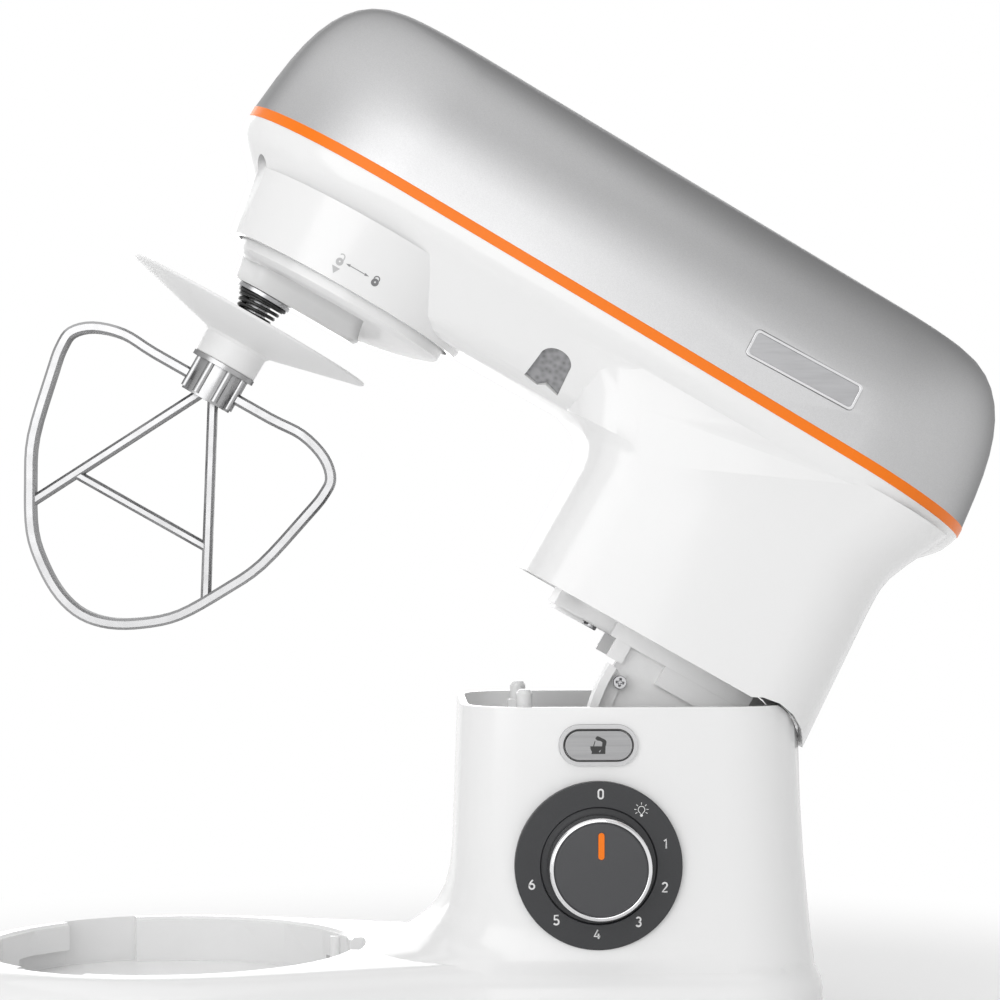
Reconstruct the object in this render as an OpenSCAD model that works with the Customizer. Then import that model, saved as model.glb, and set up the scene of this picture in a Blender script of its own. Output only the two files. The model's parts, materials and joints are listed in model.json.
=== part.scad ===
// Tilt-head stand mixer. X runs from the bowl side to the hinge side, Y across, Z up.
// The head is drawn level, as when it is shut, and swings up by head_tilt about the hinge.

/* [Base] */
// Radius of the round foot under the bowl
foot_r = 97.6; // [94:0.5:104]
// Height of the foot's top face
foot_h = 40.3; // [36:0.5:46]
// Half width of the base at the column's foot
heel_hw = 66.5; // [62:0.5:70]
// Rounding of the foot's upper edge
foot_edge = 14; // [8:1:18]
// Height of the column's top edge
column_top = 144.7; // [140:0.5:150]
// Front of the column at its top
column_front = -5.6; // [-10:0.2:0]
// Half width of the column at its top
column_hw = 57; // [55:0.5:60]
// Rounding of the column's and the neck's front corners, seen from above
front_corner = 24; // [18:1:30]
// Rounding of the column's and the neck's rear corners, seen from above
rear_corner = 36; // [26:1:40]
// Wall of the white plastic shells
shell_wall = 3; // [2.4:0.1:3.4]

/* [Bowl seat] */
// Distance of the bowl's axis in front of the origin
bowl_x = -129; // [-132:0.5:-126]
// Radius of the bowl seat
seat_r = 78.5; // [76:0.5:80]
// Depth of the bowl seat
seat_depth = 20; // [16:0.5:22]
// Depth of the bayonet pockets in the seat's wall
pocket_depth = 5; // [3:0.5:6]
// Angle that each bayonet pocket spans
pocket_angle = 24; // [18:1:30]

/* [Hinge] */
// How far the head stands open
head_tilt = 29.5; // [20:0.5:32]
// Distance of the hinge axis behind the origin
hinge_x = 113; // [111:0.5:114]
// Height of the hinge axis
hinge_z = 124; // [123:0.5:125]
// Radius of the column's rounded rear top edge about the hinge
knuckle_r = 24; // [23:0.1:24.2]
// Gap between the knuckle and the head's rear lip
knuckle_gap = 1; // [0.6:0.1:1.4]
// Radius of the hinge pin
pin_r = 5; // [4:0.25:6]
// How far each end of the hinge pin stands past the inner face of its bracket
pin_over = 8; // [7:0.5:9]
// Outer radius of the lock quadrant
quadrant_r = 68; // [64:0.5:70]
// Radius of the lock slot's middle line in the quadrant
slot_r = 50; // [46:0.5:54]

/* [Head] */
// Distance of the head's front end, at the trim band, in front of the bowl's axis
nose_reach = 72.5; // [70:0.5:77]
// Rear end of the head at the trim band
tail_x = 152.5; // [149:0.5:155]
// Half width of the head at the trim band
head_hw = 58.5; // [57.5:0.5:62]
// Height of the trim band's middle above the ground, over the origin
band_z = 254.5; // [252:0.5:257]
// Slope of the trim band in degrees, rising to the front
band_slope = 1.24; // [0:0.02:2]
// Height of the trim band
band_h = 4.5; // [3:0.25:5]
// Height of the top cover above the trim band
cover_h = 68; // [60:0.5:72]
// Wall of the top cover
cover_wall = 2.5; // [2:0.1:3]
// Height of the head's underside
under_z = 212; // [211:0.5:213]
// Height of the neck's lower edge
neck_z = 145.6; // [145.4:0.1:148]
// Lowest point of the neck's rear lip
lip_z = 137.8; // [136:0.2:142]
// Radius of the planetary skirt at its rim
skirt_r = 54.8; // [54:0.1:56]
// Height of the skirt's rim
skirt_z = 209.6; // [208.5:0.1:210.5]

/* [Planetary drive] */
// Tooth module of the ring gear and its planet
planet_module = 1.5; // [1.4:0.05:1.55]
// Teeth of the fixed ring gear
ring_teeth = 56; // [55:1:57]
// Teeth of the planet gear
planet_teeth = 17; // [16:1:18]
// Tooth module of the main gear and its pinion
main_module = 1.25; // [1.2:0.05:1.3]
// Teeth of the main gear
main_teeth = 64; // [60:1:64]
// Teeth of the pinion
pinion_teeth = 16; // [15:1:18]
// Radius of the planetary hub's rim
hub_r = 49.4; // [48:0.1:49.6]
// Radius of the spindle that carries the planetary hub
spindle_r = 7; // [6:0.25:8]
// Radius of the output shaft
output_r = 5; // [4.5:0.25:5.5]
// Radius of the pinion shaft and of the motor shaft
thin_shaft_r = 4; // [3.5:0.25:4.25]
// Running clearance of a shaft in its bearing
running = 0.05; // [0.02:0.01:0.09]
// Backlash of the gear teeth, measured along the pitch circle
backlash = 0.3; // [0.2:0.02:0.5]

/* [Motor] */
// Place of the motor's axis along the head
motor_x = 40; // [38:0.5:41]
// Side of the square stator
stator_w = 76; // [70:1:78]
// Height of the stator stack
stator_h = 46; // [40:1:48]
// Radius of the armature
armature_r = 24; // [22:0.5:25]
// Air gap between armature and stator
air_gap = 0.6; // [0.4:0.1:1]
// Pitch radius of the belt pulley
big_pulley_r = 32; // [30:0.5:33]
// Ratio of the belt drive
belt_ratio = 5; // [4.6:0.1:5.2]

/* [Beater] */
// Half width of the beater's loop
beater_hw = 66.6; // [60:0.5:68]
// Height of the beater's loop
beater_h = 117; // [105:0.5:119]
// Width of the loop's bar in the loop's plane
bar_w = 4.8; // [4:0.2:6]
// Depth of the loop's bar across the loop's plane
bar_d = 10; // [7:0.5:12]
// Radius of the splash disc
disc_r = 56; // [50:0.5:58]

/* [Controls] */
// Place of the dial's and the release button's axis along the column
dial_x = 50; // [47:0.5:53]
// Height of the dial's axis
dial_z = 80.3; // [78:0.5:82]
// Radius of the dial's ring
dial_r = 34.3; // [32:0.2:35]
// Radius of the speed knob
knob_r = 20.8; // [19:0.2:22]
// How far the knob stands out of the dial's ring
knob_out = 14.5; // [12:0.5:18]
// Height of the release button's axis
button_z = 129.3; // [128.5:0.1:130.5]
// Length of the release button
button_w = 28.6; // [26:0.2:30]
// Height of the release button
button_h = 13.1; // [12:0.1:14]
// Travel of the release button
button_travel = 3.5; // [3:0.1:4]

/* [Hidden] */
fine = 96;
$sides = fine;
nose_x = bowl_x - nose_reach;
touch = 0.3;
outer_arc = 22;
inner_arc = 9;
shell_levels = 11;
band_rise = sin(band_slope);
shaft_offset = planet_module * (ring_teeth - planet_teeth) / 2;
shaft_x = bowl_x - shaft_offset;
pinion_x = bowl_x + main_module * (main_teeth + pinion_teeth) / 2;
motor_pulley_r = big_pulley_r / belt_ratio;
seat_z = foot_h - seat_depth;
shell_foot = 3;
cover_z = band_z + band_h / 2;
floor_z = under_z + shell_wall;
chassis_z = 240;
chassis_t = 4;
gear_z = 250;
gear_t = 10;
pulley_z = 297;
pulley_t = 12;
stator_z = 186;
lever_z = 116;
lever_y = -(column_hw - 12.3);
web_y = -(column_hw - 28);
web_t = 5;
tooth_z = 100;
slot_half = 5;
tooth_half = 3;

// ---- Outlines and lofts ----

// Point of a superellipse: the sign kept, the power 2 / p
function bulge(v, p) = (v < 0 ? -1 : 1) * pow(abs(v), 2 / p);
function mix(a, b, f) = a + (b - a) * f;
function ease(f) = f * f * (3 - 2 * f);

// Seen from above: round front and rear lobes joined by slightly bowed sides
function hull_outline(x0, x1, hw, front, rear, arc) = let(bow = 1.5 * hw / head_hw, side = 5) concat(
    [for (i = [0 : arc]) let(t = 90 + 180 * i / arc)
        [x0 + front + front * bulge(cos(t), 1.9), hw * bulge(sin(t), 1.9)]],
    [for (i = [1 : side - 1]) let(f = i / side) [mix(x0 + front, x1 - rear, f), -hw - bow * sin(180 * f)]],
    [for (i = [0 : arc]) let(t = 270 + 180 * i / arc)
        [x1 - rear + rear * bulge(cos(t), 1.9), hw * bulge(sin(t), 1.9)]],
    [for (i = [1 : side - 1]) let(f = i / side) [mix(x1 - rear, x0 + front, f), hw + bow * sin(180 * f)]]);

// Seen from above: a rectangle with round front corners and rounder rear corners
function post_outline(x0, x1, hw, r0, r1, arc) = concat(
    [for (i = [0 : arc]) let(t = 90 + 90 * i / arc) [x0 + r0 + r0 * cos(t), hw - r0 + r0 * sin(t)]],
    [for (i = [0 : arc]) let(t = 180 + 90 * i / arc) [x0 + r0 + r0 * cos(t), r0 - hw + r0 * sin(t)]],
    [for (i = [0 : arc]) let(t = 270 + 90 * i / arc) [x1 - r1 + r1 * cos(t), r1 - hw + r1 * sin(t)]],
    [for (i = [0 : arc]) let(t = 90 * i / arc) [x1 - r1 + r1 * cos(t), hw - r1 + r1 * sin(t)]]);

// Seen from above: the foot, a circle round the bowl that narrows to the heel, moved in by d
function foot_outline(d, arc) = let(x1 = heel_x - rear_corner, side = 10) concat(
    [for (i = [0 : arc]) let(t = 90 + 180 * i / arc)
        [bowl_x + (foot_r - d) * cos(t), (foot_r - d) * sin(t)]],
    [for (i = [1 : side]) let(f = i / side) [mix(bowl_x, heel_start, f), d - mix(foot_r, heel_hw, ease(f))]],
    [for (i = [0 : arc / 2]) let(t = 270 + 180 * i / arc)
        [x1 + (rear_corner - d) * cos(t), rear_corner - heel_hw + (rear_corner - d) * sin(t)]],
    [for (i = [0 : arc / 2]) let(t = 180 * i / arc)
        [x1 + (rear_corner - d) * cos(t), heel_hw - rear_corner + (rear_corner - d) * sin(t)]],
    [for (i = [side : -1 : 1]) let(f = i / side)
        [mix(bowl_x, heel_start, f), mix(foot_r, heel_hw, ease(f)) - d]]);
heel_x = 146;
heel_start = 8;

// Spots under the base, each a distance in from its edge: on the round foot at an angle, on its narrowing
// sides at x behind the bowl's axis, and on the straight heel at x in front of its end; s is the side
function rim_spot(a, inset, s) = [bowl_x + (foot_r - inset) * cos(a), s * (foot_r - inset) * sin(a)];
function side_spot(x, inset, s) = [bowl_x + x,
    s * (mix(foot_r, heel_hw, ease(x / (heel_start - bowl_x))) - inset)];
function heel_spot(x, inset, s) = [heel_x - x, s * (heel_hw - inset)];

// Outline lifted to height z, sloping by rise along X
function lifted(points, z, rise = 0) = [for (p = points) [p[0], p[1], z + rise * p[0]]];

// Solid through a stack of outlines with equal counts of points, lowest first
module loft(rings) {
    n = len(rings[0]);
    last = len(rings) - 1;
    polyhedron(
        points = [for (ring = rings) for (p = ring) p],
        faces = concat(
            [[for (i = [0 : n - 1]) i]],
            [for (k = [0 : last - 1]) for (i = [0 : n - 1])
                [k * n + i, (k + 1) * n + i, (k + 1) * n + (i + 1) % n, k * n + (i + 1) % n]],
            [[for (i = [n - 1 : -1 : 0]) last * n + i]]));
}

// Evaluates a shell of many flat faces as one mesh, with coarser small cylinders; a size of 0 keeps its size
module shell() {
    $sides = 20;
    resize([0, 0, 0]) children();
}

// Swings the level head up about the hinge
module raised() {
    translate([hinge_x, 0, hinge_z]) rotate([0, head_tilt, 0]) translate([-hinge_x, 0, -hinge_z]) children();
}

// Cylinder along Z from z0 to z1 at [x, y]
module post(x, y, z0, z1, r) {
    translate([x, y, z0]) cylinder(h = z1 - z0, r = r, $fn = $sides);
}

// Cylinder along Y from y0 to y1 at [x, z]
module rod(x, z, y0, y1, r) {
    translate([x, y0, z]) rotate([-90, 0, 0]) cylinder(h = y1 - y0, r = r, $fn = $sides);
}

// Ring along Z
module ring(x, y, z0, z1, r_out, r_in) {
    difference() {
        post(x, y, z0, z1, r_out);
        post(x, y, z0 - 1, z1 + 1, r_in);
    }
}

// Box from one corner to the other
module block(low, high) {
    translate(low) cube(high - low);
}

// Flat shape of two circles on the X axis and the tangents between them
module egg(x0, r0, x1, r1) {
    turn = acos((r0 - r1) / (x1 - x0));
    translate([x0, 0]) circle(r = r0, $fn = fine);
    translate([x1, 0]) circle(r = r1, $fn = fine);
    polygon([[x0 + r0 * cos(turn), r0 * sin(turn)], [x0 + r0 * cos(turn), -r0 * sin(turn)],
        [x1 + r1 * cos(turn), -r1 * sin(turn)], [x1 + r1 * cos(turn), r1 * sin(turn)]]);
}

// Outline of that shape as one polygon of short sides
function belt_line(x0, r0, x1, r1, steps = 24) = let(turn = acos((r0 - r1) / (x1 - x0))) concat(
    [for (i = [0 : steps]) let(a = mix(turn, 360 - turn, i / steps)) [x0 + r0 * cos(a), r0 * sin(a)]],
    [for (i = [0 : steps / 3]) let(a = mix(-turn, turn, i * 3 / steps)) [x1 + r1 * cos(a), r1 * sin(a)]]);

// Flat stadium, w long and h high
module stadium(w, h) {
    for (s = [-1, 1]) translate([s * (w - h) / 2, 0]) circle(d = h, $fn = fine);
    square([w - h, h], center = true);
}

// Draws in the XZ plane and pulls along Y from y0 to y1
module across(y0, y1) {
    translate([0, y1, 0]) rotate([90, 0, 0]) linear_extrude(y1 - y0) children();
}

// ---- Gears ----

function involute(rb, a) = [rb * (cos(a) + a * PI / 180 * sin(a)), rb * (sin(a) - a * PI / 180 * cos(a))];
function turned(p, a) = [p[0] * cos(a) - p[1] * sin(a), p[0] * sin(a) + p[1] * cos(a)];
function roll_to(rb, r) = sqrt(max(0, pow(r / rb, 2) - 1)) * 180 / PI;

// Flank of one tooth from r0 to r1, whose half thickness at the pitch circle is half degrees
function flank(m, teeth, r0, r1, half, steps = 4) = let(
    pitch = m * teeth / 2, rb = pitch * cos(20), start = max(r0, rb), at = roll_to(rb, pitch),
    lean = at - atan(at * PI / 180))
    [for (i = [0 : steps]) let(a = roll_to(rb, mix(start, r1, i / steps)))
        turned(involute(rb, a), -half - lean)];

// Outline of a whole gear: root, one flank, the other flank, for each tooth
function gear_outline(m, teeth, r0, r1, half) = [for (k = [0 : teeth - 1]) let(
    side = flank(m, teeth, r0, r1, half), root = half + 90 / teeth * 0.62,
    low = r0 * [cos(root), -sin(root)],
    back = [for (i = [len(side) - 1 : -1 : 0]) [side[i][0], -side[i][1]]])
    for (p = concat([low], side, back, [[low[0], -low[1]]]))
        turned(p, 360 * k / teeth)];

module spur_gear(m, teeth) {
    pitch = m * teeth / 2;
    half = 90 / teeth - backlash / pitch * 90 / PI;
    polygon(gear_outline(m, teeth, pitch - 1.2 * m, pitch + m, half));
}

// The gap that an internal ring gear leaves: a gear whose teeth are the ring's spaces
module ring_space(m, teeth) {
    pitch = m * teeth / 2;
    half = 90 / teeth + backlash / pitch * 90 / PI;
    polygon(gear_outline(m, teeth, pitch - 0.9 * m, pitch + 1.2 * m, half));
}

// ---- Base ----

usual_flare = 9.5;    // widening, column to heel, that the steps below are drawn for
flare = (heel_hw - column_hw) / usual_flare;

// Column's front, rear, half width and front corner against height
column_profile = [
    // height, front, rear, half width, front corner
    [column_top, column_front, 136.9, column_hw, front_corner],
    [104, column_front - 1.3, 138, column_hw + 0.4 * flare, front_corner],
    [80, column_front - 2.2, 139.4, column_hw + 0.9 * flare, front_corner + 2],
    [70, column_front - 3.2, 140.3, column_hw + 1.1 * flare, front_corner + 4],
    [62, column_front - 5.4, 141, column_hw + 1.4 * flare, front_corner + 8],
    [56, column_front - 9, 141.5, column_hw + 1.6 * flare, front_corner + 13],
    [51, column_front - 14, 142, column_hw + 1.9 * flare, front_corner + 18],
    [46.5, column_front - 21, 142.4, column_hw + 2.3 * flare, front_corner + 22],
    [43, column_front - 29, 142.8, column_hw + 2.9 * flare, front_corner + 26],
    [foot_h + 0.6, column_front - 38, 143, column_hw + 3.6 * flare, front_corner + 29],
    [foot_h - 4, column_front - 44, 143.3, heel_hw - 4.4 * flare, front_corner + 30],
    [30, column_front - 44, 144.2, heel_hw - 2 * flare, front_corner + 30],
    [22, column_front - 44, 144.9, heel_hw - 0.4 * flare, front_corner + 30],
    [shell_foot, column_front - 44, 145.6, heel_hw, front_corner + 30]];

module column_solid(d, arc, grow = 0) {
    rows = len(column_profile) - 1;
    loft([for (i = [rows : -1 : 0]) let(c = column_profile[i])
        lifted(post_outline(c[1] + d, c[2] - d, c[3] - d, c[4] - d / 2, rear_corner - d / 2, arc),
            i == rows ? c[0] - grow : i == 0 ? c[0] + grow : c[0])]);
}

// The round foot with its rolled upper edge
module foot_solid(d, arc, grow = 0) {
    steps = 5;
    loft(concat(
        [lifted(foot_outline(d + 1.5, arc), shell_foot - grow),
            lifted(foot_outline(d, arc), shell_foot + 3)],
        [for (i = [0 : steps]) let(t = 90 * i / steps)
            lifted(foot_outline(d + foot_edge * (1 - cos(t)), arc),
                foot_h - d - foot_edge * (1 - sin(t)))]));
}

module seat_pocket(turn) {
    rotate([0, 0, turn]) {
        rotate([0, 0, -pocket_angle / 2]) rotate_extrude(angle = pocket_angle, $fn = fine)
            translate([seat_r - 4, seat_z]) square([4 + pocket_depth, seat_depth + 1]);
        rotate([0, 0, pocket_angle / 2 - 1]) rotate_extrude(angle = pocket_angle, $fn = fine)
            translate([seat_r - 4, seat_z]) square([4 + pocket_depth, seat_depth * 0.4]);
    }
}

// Cuts the column's rear top edge round, about the hinge
module knuckle_cut() {
    across(-80, 80) difference() {
        translate([hinge_x, hinge_z]) square(60);
        translate([hinge_x, hinge_z]) circle(r = knuckle_r, $fn = fine);
    }
}

module base_outside() {
    difference() {
        union() {
            foot_solid(0, outer_arc + 14);
            column_solid(0, 7);
        }
        knuckle_cut();
    }
}

module seat_tub() {
    post(bowl_x, 0, seat_z - shell_wall, foot_h - 1, seat_r + pocket_depth + shell_wall);
}

module base_shell() {
    stop_turn = 24;
    color("white") {
        difference() {
            shell() difference() {
                base_outside();
                difference() {
                    union() {
                        foot_solid(shell_wall, inner_arc * 2, 1);
                        column_solid(shell_wall, 4, 1);
                    }
                    seat_tub();
                    deck();
                    for (s = screw_spots) post(s[0], s[1], shell_foot + plate_t, 60, 4.2);
                    rod(dial_x, dial_z, -column_hw - 1, -column_hw + 4.2, dial_r + 2.5);
                }
                post(bowl_x, 0, seat_z, foot_h + 1, seat_r);
                translate([bowl_x, 0, foot_h - 1.2])
                    cylinder(h = 1.3, r1 = seat_r, r2 = seat_r + 1.2, $fn = fine);
                translate([bowl_x, 0, 0]) for (k = [0 : 2]) seat_pocket(118 + 120 * k);
            }
            dial_holes();
            rod(dial_x, dial_z, -90, -seat_y, dial_r + 0.1);
            translate([dial_x, 0, button_z]) across(-90, -column_hw + 0.4)
                stadium(button_w + 3.9, button_h + 3.9);
            for (s = [-1, 1]) post(pin_x, s * pin_y, deck_z - 20, deck_z + 1, pin_seat_r);
            rod(cord_x, cord_z, heel_hw - 12, heel_hw + 6, cord_r);
            for (s = screw_spots) post(s[0], s[1], 0, screw_tip, small_screw_r);
        }
        translate([bowl_x, 0, 0]) rotate([0, 0, stop_turn]) translate([seat_r - 2.2, 0, seat_z])
            cylinder(h = seat_depth - 2, r = 2.4, $fn = 24);
    }
}

// Shelf inside the column's mouth that carries the two locating pins
deck_z = 134.5;
pin_x = 21;
pin_y = 30;
pin_seat_r = 2;
module deck() {
    block([column_front - 1, -80, deck_z - 3], [pin_x + 9, 80, deck_z]);
    for (s = [-1, 1]) post(pin_x, s * pin_y, deck_z - 12, deck_z, 5);
}

// Holes in the column's side for the knob's shaft and the release button
module dial_holes() {
    rod(dial_x, dial_z, -90, -40, shaft_hole_r);
    translate([dial_x, 0, button_z]) across(-90, -40) stadium(button_w + 1.2, button_h + 1.2);
}
shaft_hole_r = 6;
cord_x = 100;
cord_z = 24;
cord_r = 7;

module locating_pins() {
    color("white") for (s = [-1, 1]) {
        post(pin_x, s * pin_y, deck_z, deck_z + 8, 4.6);
        post(pin_x, s * pin_y, deck_z + 8, 148.9, 3.4);
        translate([pin_x, s * pin_y, 148.9]) cylinder(h = 1.6, r1 = 3.4, r2 = 2.2, $fn = fine);
        post(pin_x, s * pin_y, deck_z - 9, deck_z, pin_seat_r);
    }
}

feet = [for (s = [1, -1]) each [rim_spot(143.27, 14, s), side_spot(51, 11.88, s), heel_spot(28, 20.5, s)]];
module bottom_plate() {
    color("gainsboro") difference() {
        translate([0, 0, shell_foot]) linear_extrude(plate_t) polygon(foot_outline(shell_wall + 1.8, 24));
        for (f = feet) post(f[0], f[1], 0, 9, 5);
        for (s = screw_spots) post(s[0], s[1], 0, 9, small_screw_r);
        for (i = [0 : 11]) translate([20 + i * 7, 0, 0]) linear_extrude(9) square([3, 50], center = true);
    }
}

module rubber_feet() {
    color("dimgray") for (f = feet) difference() {
        union() {
            translate([f[0], f[1], 0]) cylinder(h = shell_foot, r1 = 10, r2 = 11, $fn = fine);
            post(f[0], f[1], shell_foot, shell_foot + 5, 5);
        }
        translate([f[0], f[1], -0.1]) cylinder(h = 1.6, r1 = 7.5, r2 = 6, $fn = fine);
    }
}

plate_t = 2.5;
screw_tip = 16;
small_screw_r = 1.6;
screw_spots = [
    for (s = [1, -1]) each [rim_spot(104, 11, s), side_spot(89, 11.3, s), [heel_x - 60, s * (column_hw - 3)]]
];
module base_screws() {
    color("silver") for (s = screw_spots) {
        post(s[0], s[1], shell_foot - 1.6, shell_foot, 3.4);
        post(s[0], s[1], shell_foot, screw_tip - 1, small_screw_r);
    }
}

// ---- Controls on the column ----

seat_y = column_hw - 0.6;    // depth of the pocket that holds the dial's ring
face_y = -(column_hw + 4);    // outer face of the dial's ring
knob_y = face_y + 1.2;    // back of the knob, just over the ring's groove
module dial_bezel() {
    groove_r = 23.8;
    color("dimgray") difference() {
        union() {
            rod(dial_x, dial_z, face_y, -seat_y, dial_r);
            rod(dial_x, dial_z, -seat_y, -column_hw + 5, shaft_hole_r - 0.1);
        }
        rod(dial_x, dial_z, face_y - 1, face_y + 1.6, groove_r);
        rod(dial_x, dial_z, -100, -30, thin_shaft_r + running);
    }
}

module knob_shaft() {
    color("silver") rod(dial_x, dial_z, knob_y - knob_out + 4.5, -column_hw + 13, thin_shaft_r);
}

module dial_knob() {
    color("dimgray") difference() {
        translate([dial_x, knob_y, dial_z]) rotate([90, 0, 0]) rotate_extrude($fn = fine)
            polygon([[thin_shaft_r, 0], [knob_r, 0], [knob_r, 2.2], [knob_r - 1.9, 2.6],
                [knob_r - 1.9, knob_out - 1.2], [knob_r - 2.5, knob_out - 0.6], [0, knob_out - 0.3],
                [0, knob_out - 4.5], [thin_shaft_r, knob_out - 4.5]]);
        translate([dial_x, knob_y - knob_out + 0.8, dial_z + 9.6]) rotate([90, 0, 0])
            linear_extrude(3) rotate(90) stadium(10.8, 2.5);
    }
}

module knob_ring() {
    color("silver") translate([dial_x, knob_y, dial_z]) rotate([90, 0, 0]) rotate_extrude($fn = fine)
        polygon([[knob_r - 1.9, 2.6], [knob_r, 2.2], [knob_r, knob_out - 1.6],
            [knob_r - 0.6, knob_out - 0.9], [knob_r - 1.4, knob_out - 0.7], [knob_r - 1.9, knob_out - 1.2]]);
}

module knob_pointer() {
    color("darkorange") translate([dial_x, knob_y - knob_out + 0.8, dial_z + 9.6])
        rotate([90, 0, 0]) linear_extrude(0.7) rotate(90) stadium(10.8, 2.5);
}

module button_bezel() {
    rim = 1.85;
    color("gray") translate([dial_x, 0, button_z]) difference() {
        union() {
            across(-column_hw - 1.9, -column_hw + 0.4) stadium(button_w + 2 * rim, button_h + 2 * rim);
            across(-column_hw + 0.4, -column_hw + 4.5) stadium(button_w + 1, button_h + 1);
        }
        across(-90, -30) stadium(button_w - 0.6, button_h - 0.6);
    }
}

module release_button() {
    stem = 7;
    tip = 2.4;
    tip_end = lever_y - 2.5;
    color("silver") translate([dial_x, 0, button_z]) {
        difference() {
            across(-column_hw - 3, -column_hw + 3) stadium(button_w - 1.2, button_h - 1.2);
            across(-column_hw - 1.5, -column_hw + 4) stadium(button_w - 4, button_h - 4);
        }
        across(-column_hw - 1.5, tip_end - 2.2) circle(d = stem, $fn = fine);
        across(tip_end - 2.2, tip_end) circle(d = tip, $fn = fine);
    }
}

module speed_switch() {
    color("dimgray") difference() {
        rod(dial_x, dial_z, -column_hw + 5, -column_hw + 16, 12);
        rod(dial_x, dial_z, -column_hw + 4, -column_hw + 13.3, thin_shaft_r + running);
    }
}

module control_board() {
    color("darkgreen") block([4, 22, 12], [96, 23.6, 74]);
    color("dimgray") {
        for (x = [14, 34, 54]) rod(x, 60, 23.6, 35, 5);
        block([66, 23.6, 20], [88, 34, 46]);
    }
    color("gainsboro") for (x = [10, 84]) block([x, 18, 5.5], [x + 5, 22, 30]);
}

module cord_gland() {
    color("dimgray") difference() {
        union() {
            rod(cord_x, cord_z, heel_hw - 8, heel_hw + 1.4, cord_r - 0.2);
            rod(cord_x, cord_z, heel_hw - 9, heel_hw - 7.2, cord_r + 2);
        }
        rod(cord_x, cord_z, heel_hw - 12, heel_hw + 5, 3.6);
    }
}

// ---- Hinge and lock ----

bracket_y = column_hw - 18;
bracket_foot = 60;    // underside of each bracket's flange
barrel_half = bracket_y - 1;
pin_half = bracket_y + pin_over;
barrel_r = 14;
module hinge_brackets() {
    color("silver") difference() {
        for (s = [0, 1]) mirror([0, s, 0]) union() {
            across(bracket_y, bracket_y + 5) difference() {
                union() {
                    translate([hinge_x, hinge_z]) circle(r = 11, $fn = fine);
                    polygon([[hinge_x - 11, hinge_z], [hinge_x + 11, hinge_z],
                        [hinge_x + 9, bracket_foot], [hinge_x - 27, bracket_foot]]);
                }
                translate([hinge_x - 8, 82]) circle(r = 8, $fn = fine);
            }
            block([hinge_x - 27, bracket_y + 4, bracket_foot],
                [hinge_x - 9, column_hw - 2, bracket_foot + 6]);
        }
        rod(hinge_x, hinge_z, -60, 60, pin_r);
    }
}

module hinge_pin() {
    color("silver") {
        rod(hinge_x, hinge_z, -pin_half, pin_half, pin_r);
        for (s = [-1, 1]) translate([hinge_x, s * (bracket_y + 6.4), hinge_z]) rotate([90, 0, 0])
            ring(0, 0, -0.6, 0.6, pin_r + 2.4, pin_r - 0.5);
    }
}

// Closed-frame angle, from the hinge, of the lock tooth when the head is shut
function tooth_turn() = 180 + asin((hinge_z - tooth_z) / slot_r);
tooth_x = hinge_x + slot_r * cos(tooth_turn());
quadrant_top = 180 - 4;
quadrant_end = tooth_turn() + head_tilt + 14;

// Flat sector of a ring about the hinge, drawn in the XZ plane
module sector(r_in, r_out, from, to) {
    steps = 24;
    polygon(concat(
        [for (i = [0 : steps]) let(a = mix(from, to, i / steps)) [r_out * cos(a), r_out * sin(a)]],
        [for (i = [steps : -1 : 0]) let(a = mix(from, to, i / steps)) [r_in * cos(a), r_in * sin(a)]]));
}

module quadrant() {
    rim = 3.5;
    slip = asin((tooth_half + 0.6) / slot_r);
    dip = 4.4;    // the tooth dips as it is drawn out
    translate([hinge_x, 0, hinge_z]) {
        across(web_y, web_y + web_t) difference() {
            sector(12, quadrant_r - rim + 1, 162, quadrant_end);
            sector(slot_r - slot_half, slot_r + slot_half,
                tooth_turn() - slip, tooth_turn() + head_tilt + slip + dip);
        }
        across(web_y - 9, web_y + web_t) sector(quadrant_r - rim, quadrant_r, quadrant_top, quadrant_end);
        across(web_y - 2, web_y + 1)
            sector(quadrant_r - 9.5, quadrant_r - rim + 1, quadrant_top, quadrant_end);
        translate([-60, 0, 0]) across(web_y - 5, web_y) circle(r = 3.2, $fn = fine);
    }
}

spigot_front = 13.6;
spigot_z = 139.2;
plate_z = neck_z + 0.4;
module hinge_carrier() {
    half = barrel_half - 14;
    color("white") raised() difference() {
        union() {
            block([spigot_front, -half, spigot_z], [hinge_x - 8, half, plate_z]);
            block([spigot_front + 1.5, -half + 2, spigot_z - 1.7], [28, half - 2, spigot_z]);
            block([hinge_x - 46.5, -half - 9, 130.5], [hinge_x - 4, half + 9, spigot_z]);
            for (y = [web_y - 4, half + 5]) block([43, y, 131], [50, y + 4, plate_z]);
            for (y = [web_y - 5, half]) block([40, y, spigot_z], [hinge_x - 8, y + 10, plate_z]);
            rod(hinge_x, hinge_z, -barrel_half, barrel_half, barrel_r);
            quadrant();
        }
        rod(hinge_x, hinge_z, -60, 60, pin_r + running);
        rod(hinge_x - 60, hinge_z, web_y - 9, web_y + 9, 1.6);
    }
}

module carrier_screws() {
    color("silver") raised() {
        rod(hinge_x - 60, hinge_z, web_y - 7, web_y - 5, 2.95);
        rod(hinge_x - 60, hinge_z, web_y - 5, web_y + 4, 1.6);
        for (x = [32, 60], s = [-1, 1]) {
            post(x, s * 16, spigot_z - 1.6, spigot_z, 3);
        }
    }
}

module lock_bracket() {
    color("gray") for (x = [42.6, tooth_x + 7]) difference() {
        block([x, -column_hw + 4.5, lever_z - 6], [x + 3, lever_y + 4, lever_z + 5]);
        rod_x(lever_y, lever_z, x - 1, x + 4, 2);
    }
}

// Cylinder along X from x0 to x1 at [y, z]
module rod_x(y, z, x0, x1, r) {
    translate([x0, y, z]) rotate([0, 90, 0]) cylinder(h = x1 - x0, r = r, $fn = fine);
}

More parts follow.
